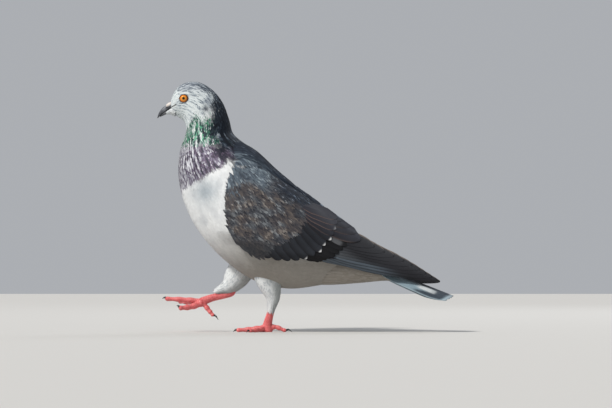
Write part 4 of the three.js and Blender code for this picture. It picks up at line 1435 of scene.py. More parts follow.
def on_wing(side):
    """Turns side view and a height over the wing's face into points. It is clamped at the wing's
    outline."""

    def place(x, z, height):
        u, w = wing_place(x, z)
        u, w = np.clip(u, 0, 1), np.clip(w, 0.004, 0.996)
        x, z = wing_side_view(u, w)
        return np.stack([x, side * (read_grid(OUTER_FACE, u, w) + height), z], -1)

    return place


def flight_row(name, coat, slot, *nodes, thickness=0.3, roots, tips, **shape):
    """A row of flight feathers on both wings, one piece for each side. coat is the rule of their
    colours."""
    for side_name, side in SIDES.items():
        made, l, m = flight_feathers(roots, tips, place=on_wing(side), **shape)
        title = f"{name}_{side_name}"
        mesh = turned_outwards(flight_mesh(title, made, l, m, coat), side)
        piece = add_piece(title, mesh, [FLIGHT], slot, *(f"{node}_{side_name}" for node in nodes))
        thickened(piece, thickness)


def evenly(first, last, count):
    """Values from first to last in equal steps."""
    return np.interp(np.arange(count), [0, count - 1], [first, last])


# %% [markdown]
# The primaries' tips step down along the wing's upper edge to the point of the wing. The innermost lies on
# top, and each further one shows below it as a narrow strip with a dark line of shadow between, painted along
# its lower edge. The secondaries show only as a black block under the coverts, and the four tertials roof the
# rest.

# %% Primaries, secondaries and tertials
TIP_X = np.array([66, 75, 84, 93, 101, 108, 114, 120, 125, 129.0])


def primary_ends():
    """Roots and tips of primaries 1 to 10. Each tip lies just inside the wing's upper edge, and each root
    lies further down the pile, so that the last ones run along the wing's lower edge."""
    steps = np.linspace(0, 1, 400)
    edge_u = np.interp(TIP_X, spline(WING_TOP, steps)[:, 0], steps)
    top, bottom = spline(WING_TOP, edge_u), spline(WING_BOTTOM, edge_u)
    tips = top + (bottom - top) * np.interp(np.arange(10), [0, 5, 9], [0.13, 0.2, 0.3])[:, None]
    return np.stack([evenly(-14, 8, 10), evenly(96, 69.4, 10)], -1), tips


def primary_coat(number, share, across):
    """Dark slate, with a paler grey bloom near the base and a brown rim along the upper edge. The outer ones
    are blue-grey along the lower web, their own grey with a painted sheen. Each has a dark line of painted
    shadow along its lower edge, strongest on the outer ones."""
    coat = blend(plain("232327", share.shape), "45484C", ease(0.62, 0.3, share))
    outer = ease(4.5, 6.5, number)
    # the outer ones' lower web: their own grey with a painted sheen
    coat = blend(coat, "525B64", outer * ease(0.1, 0.5, across) * ease(0.8, 0.5, share))
    rim = ease(0.84, 0.97, -across)
    coat = blend(coat, "948477", 0.8 * rim * ease(0.35, 0.7, share))
    # painted shadow: a dark line along each one's lower edge
    line = ease(0.86, 0.97, across) * mix(0.1, 0.9, outer) * ease(0.85, 0.65, share)
    return blend(coat, "131317", line)


def secondary_coat(number, share, across):
    """Nearly black. The first one shows a pale streak of painted highlight where it comes out from under the
    coverts."""
    coat = blend(plain("08080A", share.shape), "151518", 0.5 + 0.5 * across)
    # painted highlight: a pale streak on the first one where it leaves the coverts
    pale = (number == 0) * ease(0.68, 0.76, share) * ease(0.95, 0.88, share) * ease(-0.3, 0.2, across)
    return blend(coat, "5C5D60", 0.8 * pale)


def tertial_coat(number, share, across):
    """Slate, darker along the lower web, with a thin brown rim below. Along the last one's upper edge, which
    is the wing's own upper edge, lies a pale blue streak of painted sheen."""
    coat = blend(plain("2D2E37", share.shape), "222228", ease(-0.2, 0.9, across))
    rim = ease(0.88, 0.98, across) * ease(0.97, 0.85, share) * ease(0.05, 0.2, share)
    coat = blend(coat, "6E5F5B", 0.8 * rim)
    # painted sheen: a pale blue streak along the wing's upper edge
    pale = 0.8 * (number == 3) * ease(-0.3, -0.9, across) * ease(0.45, 0.65, share)
    return blend(coat, "8D99A4", pale)


for name, side in SIDES.items():
    points, faces, maps = wing_bed(side)
    coat = plain("2E2E33", points.shape[:2])
    bed = mesh_from(f"wing_bed_{name}", points, faces, coat=coat, maps=maps)
    add_piece(f"wing_bed_{name}", turned_outwards(bed, side), [FLIGHT], "plumage_wing")

roots, tips = primary_ends()
webs = dict(upper=evenly(8.5, 7, 10), lower=evenly(6, 5, 10), bow=evenly(1.5, -1.5, 10), tilt=0.07)
flight_row("primary_feathers", primary_coat, "flight_feathers", "primaries", thickness=0.2,
           roots=roots, tips=tips, layer=evenly(0.8, 2.0, 10), **webs)

tips = np.stack([evenly(38, 12, 8), np.interp(np.arange(8), [0, 3, 7], [80, 70, 64.6])], -1)
roots = tips + np.array([-46, 33]) * evenly(1, 0.75, 8)[:, None]
webs = dict(upper=[7.0] * 8, lower=[5.5] * 8, bow=[1.0] * 8)
flight_row("secondary_feathers", secondary_coat, "flight_feathers",
           roots=roots, tips=tips, layer=evenly(0.35, 0.6, 8), **webs)

tips = [[52.0, 86.5], [48, 93], [42, 99], [35, 104.5]]
roots = [[-10.0, 109.0], [-12, 117], [-14, 122], [-15, 126.5]]
webs = dict(upper=[8, 7, 6, 4.5], lower=[9, 8, 7, 6], bow=[1.5, 1, 0.5, 0])
flight_row("tertial_feathers", tertial_coat, "flight_feathers",
           roots=roots, tips=tips, layer=[0.1, 0, -0.1, -0.2], **webs)

# %% [markdown]
# ## Coverts
#
# Small coverts cover the wrist like tiles, and grow larger backwards. This bird's are worn and mottled:
# brown-grey blades with pale rims, blue-grey over the shoulder, and a dark blue band along the back. The
# longest, the greater coverts, are smooth charcoal feathers in one row, and some end in a white dot.

# %% Colours of the wing


def wing_coat(x, z, below, points, draw):
    """Colour of a covert by where its root lies in side view. below is how far it lies under the wing's
    upper edge. Brown mottling is the ground, and the other areas are blended over it."""
    tone = draw.normal(0, 1, len(x))
    # Streaks that run backwards and down, as the coverts lie.
    lie = np.stack([(x * 0.6 - z * 0.8) * 0.4, x * 0.8 + z * 0.6, 0 * x], -1)
    blotch = 0.24 * speckle(lie, 2.6, 16) + 0.16 * speckle(points, 9, 18)
    pick = np.clip(0.48 + blotch + 0.22 * draw.normal(0, 1, len(x)), 0, 1)
    soft = speckle(points, 13, 7)
    coat = draw_from([(0.22, "303036"), (0.34, "444145"), (0.26, "56504E"), (0.14, "68605B"),
                      (0.05, "86807B")], pick)
    cool = draw_from([(0.3, "2D3139"), (0.38, "42474F"), (0.24, "5A6168"), (0.08, "7F868C")], pick)
    coat = blend(coat, cool, ease(-0.5, 0.7, soft) * 0.85)
    shoulder = (1 - ease(-46, -30, x)) * (1 - ease(17, 26, below))
    blue = draw_from([(0.26, "3E4752"), (0.4, "56626E"), (0.24, "6C7983"), (0.1, "95A2AB")], pick)
    coat = blend(coat, blue, shoulder)
    band = ease(-42, -24, x) * (1 - ease(11, 19, below))
    # the palest pick of the band stands for a painted sheen on a few feathers
    deep = draw_from([(0.5, "1E242F"), (0.3, "2C3441"), (0.15, "444F5D"), (0.05, "8290A0")], pick)
    coat = blend(coat, deep, band)
    pale = near(x, z, -35, 153, 11, 4.5) * ease(0.5, 0.8, pick)
    coat = blend(coat, "9FB0B6", 0.9 * pale)
    coat = blend(coat, "2B2D32", 0.85 * ease(94, 84, z) * ease(-30, -40, x))
    coat = blend(coat, "232428", 0.85 * ease(88, 76, z) * ease(-40, -25, x))
    return np.clip(coat * (1 + 0.05 * tone[:, None]), 0.008, 0.9)


def coverts(name, side, u, w, length, width, lift, draw):
    """Blades laid on the wing's face at places (u, w), lying backwards and down: at 38 degrees along the
    back, where they stray only a little and never upwards, and at 50 over the middle of the wing."""
    face = wing_face(side)
    none = np.zeros(len(u))
    root = face(u, w, none)
    stray = np.abs(draw.normal(0, 5, len(u))) * np.where(w < 0.1, 0.3, draw.choice([-1, 1], len(u)))
    angle = np.radians(mix(38, 50, ease(0.1, 0.55, w)) + stray)
    heading = np.stack([np.cos(angle), none, -np.sin(angle)], -1)
    rise = lift * draw.uniform(0.3, 1.5, len(u))
    blades = lay_feathers(face, u, w, heading, length, width, 1.0 + none, rise, draw, fray=0.09)
    below = w * np.linalg.norm(spline(WING_BOTTOM, u) - spline(WING_TOP, u), axis=-1)
    coat = wing_coat(root[:, 0], root[:, 2], below, root, draw)
    edge = mix(np.clip(coat * 1.2 + 0.004, 0, 0.9), colour("6E6862"), 0.2)
    mesh = vanes_mesh(name, blades, chart(u, w), coat, none, fringe=edge)
    add_piece(name, mesh, [COVERT], "plumage_wing", f"wing_{name.split('_')[-1]}")


# The greater coverts: root and tip in side view, widths, whether the tip is white.
GREATER_TIPS = np.array([
    [30, 107], [30, 101.6], [28.6, 96], [26, 90.6], [24, 85.6], [18.4, 80.4], [14.6, 74.2],
    [8, 70.8], [1.4, 67.8], [-6, 66.6], [-14, 66.6], [-22, 67.2], [-31, 69.5], [-40, 73],
])
GREATER_TURN = [17, 20, 26, 33, 40, 45, 48, 49, 49, 48, 46, 43, 40, 37]
GREATER_LONG = [38, 37, 36, 35, 34, 33, 32, 30, 28, 26, 24, 22, 20, 18]
WHITE_TIPPED = [0, 0, 0.25, 0, 0.95, 0.75, 0.85, 0, 0.8, 0, 0, 0, 0, 0]


def greater_coat(number, share, across):
    """Smooth charcoal, brown-rimmed in the upper ones, with a white dot at some tips."""
    upper = ease(4.5, 1.5, number)
    coat = blend(plain("282B31", share.shape), "1C1D22", ease(0, 1, across))
    coat = blend(coat, "38373F", upper * 0.7)
    rim = ease(0.88, 0.98, across) * ease(0.05, 0.25, share) * ease(0.98, 0.88, share)
    coat = blend(coat, "8A736B", rim * upper)
    white = np.array(WHITE_TIPPED)[number] * ease(0.93, 0.975, share) * ease(0.9, 0.5, np.abs(across - 0.1))
    return blend(coat, "DCDCDC", white)


turn = np.radians(GREATER_TURN)
roots = GREATER_TIPS - np.stack([np.cos(turn), -np.sin(turn)], -1) * np.array(GREATER_LONG)[:, None]
count = len(roots)
webs = dict(upper=[5.6] * count, lower=[5.2] * count, bow=[0.8] * count)
flight_row("greater_coverts", greater_coat, "plumage_wing", thickness=0.25,
           roots=roots, tips=GREATER_TIPS, layer=np.linspace(-0.8, 0.1, count), rows=20, **webs)

# At each height the small coverts end here, so that they cover only the roots of the greater ones.
COVERTS_END_Z = [66, 77.4, 84.9, 91, 99.5, 112, 120, 130]
COVERTS_END_X = [-49, -40, -34, -22, -10, -7, 5, 27]
for name, side in SIDES.items():
    draw = default_rng(70)
    face = wing_face(side)
    u, w = scatter(face, (0.0, 0.72), (0.012, 0.97), 1.35, draw)
    root = face(u, w, np.zeros(len(u)))
    keep = root[:, 0] < np.interp(root[:, 2], COVERTS_END_Z, COVERTS_END_X)
    u, w, size = u[keep], w[keep], ease(-80, 0, root[keep, 0])
    long = mix(7.0, 11, size) * draw.uniform(0.8, 1.2, len(u))
    broad = mix(1.5, 2.3, size) * draw.uniform(0.75, 1.25, len(u))
    coverts(f"coverts_{name}", side, u, w, long, broad, 0.09, draw)

# %% [markdown]
# Between the wings lies the mantle, and its rear feathers, the scapulars, roof the crack between back and
# wing. Their surface is a quarter of an oval, from the ridge of the back down to each wing's face.
# Further back, where the wings stand higher than the ridge, it closes the gap between them.

# %% Scapular feathers


def scapular_roof(side):
    """A point at u along the wing's upper edge and q from the ridge, 0, to the wing's face, 1: as high
    above the edge as (ridge - edge) cos(q pi / 2), and as far out as the edge's own reach times sin(q pi
    / 2). At the shoulder it starts under the coat of the body and rises out of it."""
    face = wing_face(side)
    steps = np.linspace(0.3, 0.95, 60)
    ridge_x, ridge_z = spline(BODY, steps)[:, 0], spline(BODY, steps)[:, 1]

    def point(u, q):
        edge = face(u, 0.06 + 0 * u, 0.4 - 0.9 * ease(0.8, 1.0, q))
        ridge = np.maximum(np.interp(edge[..., 0], ridge_x, ridge_z) + 0.2, edge[..., 2] + 0.9)
        turn = q * np.pi / 2
        height = mix(edge[..., 2], ridge, np.cos(turn))
        made = np.stack([edge[..., 0], edge[..., 1] * np.sin(turn), height], -1)
        front = u < 0.2
        t, a = body_place(made[front])
        made[front] = mix(body(t, a, 0 * t - 0.6), made[front], ease(0.05, 0.2, u[front])[:, None])
        return made

    return raised(point, sign=side)


for number, (name, side) in enumerate(SIDES.items()):
    draw = default_rng(75 + number)
    roof = scapular_roof(side)
    u, q = scatter(roof, (0.06, 0.5), (0.03, 1.0), 1.6, draw)
    keep = q < mix(1.0, 0.6, ease(0.41, 0.46, u))
    u, q = u[keep], q[keep]
    none = np.zeros(len(u))
    outwards = unit(roof(u, q + 2e-3, none) - roof(u, q - 2e-3, none))
    heading = unit(lie(roof, u, q) + 0.12 * outwards + draw.normal(0, 0.05, (len(u), 3)))
    size = draw.uniform(0.8, 1.2, len(u))
    long, broad = mix(9, 13, ease(0, 0.4, u)) * size, mix(1.8, 2.4, ease(0, 0.4, u)) * size
    rise = 0.12 * draw.uniform(0.2, 1.5, len(u))
    blades = lay_feathers(roof, u, q, heading, long, broad, 1.0 + none, rise, draw, fray=0.07)
    root = roof(u, q, none)
    blotch = 0.22 * speckle(root * [0.4, 1, 1], 3, 19)
    pick = np.clip(0.45 + blotch + 0.16 * draw.normal(0, 1, len(u)), 0, 1)
    # the palest pick of each list stands for a painted sheen on a few feathers
    coat = draw_from([(0.5, "1E242F"), (0.3, "2C3441"), (0.14, "4A5563"), (0.06, "8694A1")], pick)
    blue = draw_from([(0.3, "353D48"), (0.4, "4A5560"), (0.24, "5F6B74"), (0.06, "8796A0")], pick)
    coat = blend(coat, blue, ease(0.55, 1.0, q) * ease(0.34, 0.16, u))
    mesh = vanes_mesh(f"scapulars_{name}", blades, chart(u, q), coat, none, shade=(0.85, 1.0))
    add_piece(f"scapulars_{name}", mesh, [COVERT], "plumage_wing")

# %% [markdown]
# ## Tail
#
# Twelve tail feathers fan out slightly. The middle pair lies on top, and each pair further out shows
# below it as a strip. The outermost has a pale outer web. They are drawn straight on the tail's upper
# face, and short feathers of the rump and vent cover their roots above and below.

# %% Tail feathers


def tail_blades(rows=30):
    """Blades 1 to 6 of both sides on the tail's upper face. Blade k is centred at c = (k - 0.6) / 6.2 and
    spans from 0.33 inside to 0.14 outside of it. Each lies 0.1 mm under the one before. The sides droop
    by a further 5.2 c^2 over the rear half, as the tail is carried like a shallow roof."""
    upper = tail_face(1)
    s = np.r_[np.linspace(0, 0.84, rows - 10), np.linspace(0.86, 1, 10)]
    k = np.repeat(np.arange(1, 7), 2)
    side = np.tile([-1, 1], 6)
    half = np.interp(s, [0, 0.3, 0.8, 0.93, 0.98, 1.0], [0.75, 0.95, 1, 0.82, 0.5, 0.15])
    S, C = np.meshgrid(s, FLIGHT_COLUMNS, indexing="ij")
    centre = (k - 0.6) / 6.2
    spread = np.where(C[None] < 0, 0.33, np.minimum(0.14, 0.985 - centre)[:, None, None])
    c = side[:, None, None] * (centre[:, None, None] + C[None] * spread * half[None, :, None])
    reach = (1.0 - 0.004 * k)[:, None, None] * S[None]
    depth = -0.1 * (k - 1)[:, None, None] + 0.1 * np.exp(-((C / SHAFT) ** 2)) * (1 - S) - 0.05 * C**2
    depth = depth + 0.05 * (side[:, None, None] > 0)  # the right half lies over the left
    flat = np.ones_like(c)
    made = upper(reach * flat, c, depth)
    made[..., 2] -= 5.2 * c * c * (ease(0.1, 0.5, reach) - 0.45 * ease(0.8, 1.0, reach))
    m = C * np.where(C < 0, 8, 4.0) * half[:, None] * flat
    return made, reach * TAIL_LENGTH * flat, m, k


def tail_coat(number, share, across):
    """Colours by place on the whole fan, where c runs from the middle, 0, to the outer edge, 1: dark grey
    in the middle and pale blue-grey outside, with a dark bar near the end. Before the bar lies a white
    patch, and the outer edge and the end are pale."""
    c = (TAIL_ORDER[number] - 0.6) / 6.2 + across * np.where(across < 0, 0.33, 0.12)
    coat = blend(plain("454B52", share.shape), "8497A1", ease(0.4, 0.62, c))
    bar = ease(0.64, 0.72, share - 0.1 * ease(0.9, 0.7, c)) * ease(0.97, 0.94, share)
    coat = blend(coat, "2F3741", 0.95 * bar)
    white = ease(0.67, 0.71, share) * ease(0.87, 0.82, share) * ease(0.42, 0.52, c) * ease(0.78, 0.7, c)
    coat = blend(coat, "C9CED0", 0.9 * white)
    coat = blend(coat, "93A3AC", 0.85 * ease(0.93, 0.98, c))
    return blend(coat, "A3B1B9", 0.8 * ease(0.955, 0.98, share))


def turned_up(work):
    """Turns all faces that look down."""
    work.normal_update()
    bmesh.ops.reverse_faces(work, faces=[f for f in work.faces if f.normal.z < 0])


made, l, m, TAIL_ORDER = tail_blades()
mesh = edited(flight_mesh("tail_vanes", made, l, m, tail_coat), turned_up)
thickened(add_piece("tail_vanes", mesh, [FLIGHT], "tail_feathers", "tail"), 0.35)

# %% [markdown]
# Short feathers cover the tail's root above, and long soft ones hang under it as a wedge that runs on
# from the belly. The upper ones lie on the tail's own face. The lower ones have a surface of their own,
# made of ovals like the body's.

# %% Feathers over and under the tail's root
VENT = np.array([
    [36.0, 78.0, 8.0, 43.8, 24.6], [50.0, 74.0, 30.0, 44.6, 22.0], [64.0, 66.0, 54.0, 46.4, 16.6],
    [78.0, 56.0, 74.0, 48.2, 9.5], [88.0, 49.0, 86.5, 47.4, 4.0],
])
UNDERSIDE = (0.42 * np.pi, 1.58 * np.pi)
ROOT_TRACTS = [
    ("rump_feathers", tail_face(1), (-0.12, 0.34), (-0.92, 0.92), 3.2, ["5C646C", "7D858C", "98A0A6"]),
    # the vent's grey-brown: its own colour deepened by painted shade, as it faces down under the body
    ("vent_feathers", raised(ovals(VENT)), (0.02, 0.97), UNDERSIDE, 0.2, ["8C867D", "938D85", "9A948C"]),
]
for number, (name, cover, span, around, rise, picks) in enumerate(ROOT_TRACTS):
    draw = default_rng(85 + number)
    s, c = scatter(cover, span, around, 2.1, draw)
    none = np.zeros(len(s))
    heading = unit(lie(cover, s, c, step=1e-2) + draw.normal(0, 0.06, (len(s), 3)) * [1, 1, 0.2])
    size = draw.uniform(0.85, 1.15, len(s))
    rising = mix(rise, 0.3, ease(0, 0.34, s)) * draw.uniform(0.5, 1.0, len(s))
    blades = lay_feathers(cover, s, c, heading, 13 * size, 3.4 * size, 1.0 + none, rising, draw, fray=0.07)
    place = chart(*((v - low) / (high - low) for v, (low, high) in ((s, span), (c, around))))
    coat = draw_from([(0.35, picks[0]), (0.4, picks[1]), (0.25, picks[2])], draw.random(len(s)))
    mesh = vanes_mesh(name, blades, place, coat, none, shade=(0.93, 1.0))
    add_piece(name, mesh, [SOFT], "plumage_body")

# %% [markdown]
# ## Bill, cere and nostrils
#
# The bill is horn: two halves that meet in a dark line, the upper one hooked over the lower, and the line is
# painted shade. Each is lofted from ovals that are flatter on the cutting side. Over its root sits the cere,
# a chalky white swelling in two lobes, and under each lobe lies a slit, the nostril, painted dark on the bill
# as its shade. The cere is a pair of soft ellipsoids with wrinkles, melted together.

# %% Bill
UPPER_BILL = [
    (-121, 216.8, -121, 213.4, 4.3), (-127, 215.2, -126, 211.3, 4.1), (-132.2, 213.2, -130, 208.9, 3.3),
    (-136.2, 209.7, -134, 206.1, 2.4), (-138.7, 205.6, -137.2, 203.5, 1.5), (-139.7, 202, -139.0, 201.6, 0.5),
]
LOWER_BILL = [
    (-121, 213.8, -121, 206.8, 4.0), (-126, 211.6, -126.4, 206.2, 3.6), (-130, 209.1, -130.8, 205.2, 2.7),
    (-134, 206.3, -134.4, 203.7, 1.8), (-136.9, 204.0, -137.1, 202.5, 0.8),
]


def bill_half(rows, flat_below):
    """Ovals between a top and a bottom line. On the flat side the cosine is taken to the power 0.5, and
    all round the sine to the power 0.85, which squares the oval's shoulders into a cutting edge."""

    def point(t, angle, _):
        row = spline(rows, t)
        centre, half = middle_and_half(row)
        cosine, sine = np.cos(angle), np.sin(angle)
        flat = (cosine < 0) == flat_below
        cosine = np.where(flat, np.sign(cosine) * np.abs(cosine) ** 0.5, cosine)
        upright = centre + half * cosine[..., None]
        out = row[..., 4] * np.sign(sine) * np.abs(sine) ** 0.85
        return np.stack([upright[..., 0], out, upright[..., 1]], -1)

    return point


def horn_material(name, codes, scale, roughness, bump, painted=False):
    """Horn and bare skin: a ramp of colours through noise, which is also the bump. A painted one is
    multiplied by the Coat attribute."""
    material, tree, shader = new_material(name, roughness, Specular_IOR_Level=0.5)
    place = add_node(tree, "ShaderNodeTexCoord")
    cloud = noise(tree, place.outputs["Object"], scale, 5.0, Roughness=0.6)
    ramp = add_node(tree, "ShaderNodeValToRGB", {0: cloud})
    for index, code in enumerate(codes):
        stop = ramp.color_ramp.elements[index] if index < 2 else ramp.color_ramp.elements.new(0.5)
        stop.position = 0.3 + 0.4 * index / (len(codes) - 1)
        stop.color = (*colour(code), 1)
    shown = ramp.outputs[0]
    if painted:
        coat = add_node(tree, "ShaderNodeAttribute", attribute_name="Coat")
        shown = product(tree, shown, coat.outputs["Color"])
    tree.links.new(shown, shader.inputs["Base Color"])
    bumped(tree, shader, cloud, bump)
    return material


HORN = horn_material("dark_horn", ["3A3C42", "53565C", "6E7176"], 260.0, 0.42, 0.0001, painted=True)
CLAW_HORN = horn_material("claw_horn", ["141416", "232326", "45403F"], 400.0, 0.32, 0.00008)
CERE_SKIN = horn_material("chalky_cere", ["C9BDB6", "DED6D0", "EFEAE6"], 420.0, 0.72, 0.00018)


def bill_tone(points):
    """How light the horn is: palest along the base of the ridge, its own paler horn with a painted highlight
    on top, and dark at the tip. Painted shade darkens it along the cutting edge, where the halves meet, and
    in the nostril's slit before the cere."""
    x, z = points[:, 0], points[:, 2]
    edge = np.interp(x, [-139, -137.2, -134, -130, -126, -121], [201.8, 203.6, 206.1, 208.9, 211.3, 213.4])
    # palest on top near the base: the horn's own paler base with a painted highlight
    tone = mix(0.75, 1.5, ease(-0.5, 4.0, z - edge) * ease(-138, -131, x))
    # painted shade along the cutting edge, where the two halves meet
    tone = tone * mix(1, 0.25, ease(0.45, 0.1, np.abs(z - edge)))
    # painted shade in the nostril's slit
    slit = near(x, z, -130.6, 211.2, 1.5, 0.7) * (np.abs(points[:, 1]) > 1.2)
    return (tone * (1 - 0.85 * slit))[:, None] * np.array([1.0, 1.0, 1.02])


for name, rows, flat_below in (("bill_upper", UPPER_BILL, True), ("bill_lower", LOWER_BILL, False)):
    points, faces = closed_tube(bill_half(rows, flat_below), 70, 56, cap=0.03)
    mesh = closed_mesh(f"{name}_horn", points, faces)
    paint(mesh, bill_tone(points_of(mesh)))
    add_piece(f"{name}_horn", mesh, [HORN], "bill", name)

# %% Cere
CERE_MIDDLE = np.array([-128.2, 1.9, 214.0])
CERE_LENGTH, CERE_WIDTH, CERE_HEIGHT, CERE_SLOPE = 3.7, 2.5, 2.0, 0.5


def cere_lobe(side):
    """One lobe: an ellipsoid turned down to the front by its slope, with wrinkles across it."""

    def point(t, angle, _):
        polar = np.pi * (0.02 + 0.96 * t)
        x, around = -np.cos(polar) * CERE_LENGTH, np.sin(polar)
        around = around * (1 + 0.03 * np.sin(9 * x / 4.2 + 1.3 * np.cos(angle)) * around)
        y, z = around * np.sin(angle) * CERE_WIDTH, around * np.cos(angle) * CERE_HEIGHT
        c, s = math.cos(CERE_SLOPE), math.sin(CERE_SLOPE)
        return CERE_MIDDLE * [1, side, 1] + np.stack([x * c - z * s, y, x * s + z * c], -1)

    return point


lobes = [closed_mesh("lobe", *closed_tube(cere_lobe(side), 36, 40)) for side in SIDES.values()]
melted = finished(lobes, *melting(0.16, 5))
melted.polygons.foreach_set("use_smooth", np.ones(len(melted.polygons), bool))
add_piece("cere_lobes", melted, [CERE_SKIN], "cere", "cere")

# %% [markdown]
# ## Eyes
#
# A feral pigeon's iris is orange, yellower round the pupil and red-brown at its rim. The ball is glossy,
# so a clear coat lies over it. Bare grey lids make a ring round it. The iris is painted by distance from
# the eye's axis, with fine spokes from noise, and the eyes sit sunk in the head as far as the lids allow.

# %% Eyeballs and lids
gloss = dict(Coat_Weight=0.6, Coat_Roughness=0.02, Specular_IOR_Level=0.2)
IRIS, tree, shader = new_material("orange_iris", 0.14, **gloss)
coat = add_node(tree, "ShaderNodeAttribute", attribute_name="Coat")
vane = add_node(tree, "ShaderNodeUVMap", uv_map="Vane")
spokes = noise(tree, vane.outputs["UV"], 1.0, 4.0)
tone = sums(tree, "MULTIPLY_ADD", spokes, 0.7, 0.65)
tree.links.new(product(tree, coat.outputs["Color"], tone), shader.inputs["Base Color"])

LID_SKIN = horn_material("eyelid_skin", ["55524F", "74706C", "97938E"], 380.0, 0.55, 0.00012, painted=True)


# Colours of the eye at distances in mm from its axis: pupil, iris and dark rim.
IRIS_RINGS = {0: "040303", 1.16: "040303", 1.3: "C98A2C", 1.8: "E99C38", 2.7: "E07F1C",
              3.2: "C9680F", 3.6: "7A3E10", 3.85: "24130C", 9: "24130C"}


def eyeball(side, rows=64, columns=72):
    """A ball seen along y. At polar angle g from its outward pole the distance from the axis is r sin g,
    and the height over the middle r cos g. It is drawn out by 1.03 along the head."""
    g = 0.004 + (np.pi - 0.008) * np.linspace(0, 1, rows) ** 1.5
    angle = np.linspace(0, 2 * np.pi, columns, endpoint=False)
    G, A = np.meshgrid(g, angle, indexing="ij")
    far = EYE_RADIUS * np.sin(G)
    y = EYE[1] + EYE_RADIUS * np.cos(G)
    x, z = EYE[0] + 1.03 * far * np.sin(A), EYE[2] + far * np.cos(A)
    radii = list(IRIS_RINGS)
    tones = np.array([colour(code) for code in IRIS_RINGS.values()])
    coat = np.stack([np.interp(far, radii, tones[:, k]) for k in range(3)], -1)
    coat = np.where((np.cos(G) > 0)[..., None], coat, colour("2A120B"))
    out = 0.48 * G / np.pi
    maps = {"OFBake": pairs(0.5 + out * np.sin(A), 0.5 + out * np.cos(A)),
            "Vane": pairs(np.cos(A) * 3 + far * 0.5, np.sin(A) * 3)}
    return np.stack([x, side * y, z], -1), grid_faces(rows, columns, closed=True), coat, maps


def lid_ring(side, rows=96, columns=20):
    """A ring of skin round the eye: a tube whose middle line lies on the head 4.1 mm from the eye's axis,
    drawn in a little above and below. Its inner side dips down to the ball, and is dark brown there."""
    turn = np.linspace(0, 2 * np.pi, rows, endpoint=False)
    angle = np.linspace(0, 2 * np.pi, columns, endpoint=False)
    T, A = np.meshgrid(turn, angle, indexing="ij")
    thick = 0.42 + 0.08 * np.sin(T + 2.2) + 0.03 * np.sin(T * 23)
    far = 4.12 + thick * np.cos(A)
    x, z = EYE[0] + 1.04 * far * np.sin(T), EYE[2] + 0.93 * far * np.cos(T) + 0.05
    t = body_place(np.stack([x.ravel(), np.full(x.size, 12.0), z.ravel()], -1))[0]
    row = spline(BODY, t)
    rise = height_on_oval(row, x.ravel(), z.ravel())
    head = (row[:, 4] * np.sqrt(np.maximum(0.05, 1 - rise**2))).reshape(x.shape)
    ball = EYE[1] + np.sqrt(np.maximum(0, (EYE_RADIUS + 0.15) ** 2 - np.minimum(far, EYE_RADIUS) ** 2))
    base = np.maximum(head - 0.9, mix(head - 0.9, ball, ease(4.6, 3.6, far)))
    y = base + thick * np.sin(A) * 0.9
    inner = ease(0.5, -0.6, np.cos(A)) * mix(1, 0.55, ease(0.2, -0.9, np.cos(T)))
    tone = mix(1, 0.16, inner) * mix(0.95, 0.62, ease(-0.6, 0.6, np.cos(T - 0.9)))
    coat = tone[..., None] * mix(np.array([1.0, 1.0, 1.0]), np.array([1.0, 0.72, 0.55]), inner[..., None])
    faces = grid_faces(rows, columns, closed=True, looped=True)
    return np.stack([x, side * y, z], -1), faces, coat


for name, side in SIDES.items():
    points, faces, coat, maps = eyeball(side)
    mesh = closed_mesh(f"eyeball_{name}", points, faces, coat=coat, maps=maps)
    add_piece(f"eyeball_{name}", mesh, [IRIS], "eye", f"eye_{name}")
    points, faces, coat = lid_ring(side)
    mesh = closed_mesh(f"eyelids_{name}", points, faces, coat=coat)
    add_piece(f"eyelids_{name}", mesh, [LID_SKIN], "cere")

# %% [markdown]
# ## Claws
#
# Each claw is a curved cone of dark horn that grows from the toe's end and bends down. Four stops along a
# short path give its shape: two inside the toe's end, the bend, and the point.

# %% Claws
for name in SIDES:
    for kind, (stops, claw, thick) in zip(TOE_NAMES, TOES[name]):
        base, reach = np.array(stops[-1][:3]), np.linalg.norm(claw)
        way, up = claw / reach, np.array([0, 0, 1.0])
        top, bend = base + 0.2 * thick * up, base + claw * 0.5 + 0.24 * reach * up
        rows = [
            (*(top - way * 1.4), thick * 0.5, thick * 0.4),
            (*(top + way * 0.5), thick * 0.5, thick * 0.36),
            (*bend, thick * 0.36, thick * 0.26),
            (*(base + claw), 0.14, 0.12),
        ]
        mesh = closed_mesh(f"{kind}_claw_horn_{name}", *closed_tube(tube(rows), 26, 18))
        add_piece(f"{kind}_claw_horn_{name}", mesh, [CLAW_HORN], "claw", f"{kind}_toe_claw_{name}")

# %% [markdown]
# ## Camera, light and floor
#
# The camera stands low, at about the height of the bird's heel, and far off, so that the bird is seen
# nearly side on. A sun with a wide disc, so that its shadows are soft, models the breast from above and
# in front. A small lamp behind lifts the back from the ground, and a pale world fills the shadows.

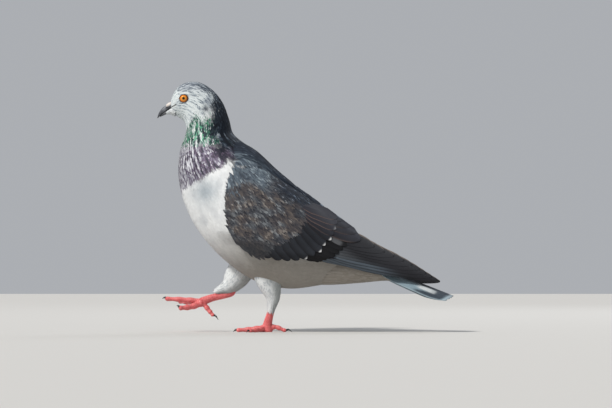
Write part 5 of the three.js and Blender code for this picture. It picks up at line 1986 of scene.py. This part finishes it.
# %% Stage
floor = bpy.data.meshes.new("floor")
floor.from_pydata([(-9, -3, 0), (9, -3, 0), (9, 9, 0), (-9, 9, 0)], [], [(0, 1, 2, 3)])
floor = bpy.data.objects.new("floor", floor)
bpy.context.collection.objects.link(floor)
FLOOR, tree, shader = new_material("pale_floor", 0.9)
shader.inputs["Base Color"].default_value = (0.62, 0.61, 0.59, 1)
floor.data.materials.append(FLOOR)
floor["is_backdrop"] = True

world = bpy.data.worlds.new("studio")
world.use_nodes = True
world.node_tree.nodes["Background"].inputs[0].default_value = (0.82, 0.85, 0.9, 1)
world.node_tree.nodes["Background"].inputs[1].default_value = 0.5
bpy.context.scene.world = world
bpy.context.scene.view_settings.view_transform = "Standard"


def add_lamp(name, kind, place, tint, **settings):
    """A lamp at a place, turned to face the bird's middle."""
    lamp = bpy.data.lights.new(name, kind)
    lamp.color = tint
    for title, value in settings.items():
        setattr(lamp, title, value)
    holder = bpy.data.objects.new(name, lamp)
    holder.location = place
    way = np.array([0, 0, 0.13]) - np.array(place, float)
    holder.rotation_euler = Vector(way).to_track_quat("-Z", "Y").to_euler()
    bpy.context.collection.objects.link(holder)


add_lamp("key", "SUN", (-1.5, -1.4, 2.1), (1.0, 0.97, 0.92), energy=2.9, angle=math.radians(9))
add_lamp("rim", "AREA", (0.9, 1.3, 1.5), (0.9, 0.95, 1.0), size=0.8, energy=5)

camera = bpy.data.objects.new("camera", bpy.data.cameras.new("camera"))
camera.data.lens, camera.data.sensor_width = 100, 36
camera.data.clip_start, camera.data.clip_end = 0.05, 50
camera.location = (0, -1.6, 0.042)
camera.rotation_euler = (math.radians(90 + 2.80), 0, math.radians(-0.024))
bpy.context.collection.objects.link(camera)
bpy.context.scene.camera = camera
print("camera at", tuple(camera.location))

# %% Sizes, and the end
bpy.context.view_layer.update()
model_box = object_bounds()
for label, *corners in zip(("low", "high"), cad_box, model_box):
    print(label, "corner in mm, CAD and visual:", np.round(np.array(corners) / MM, 1).tolist())
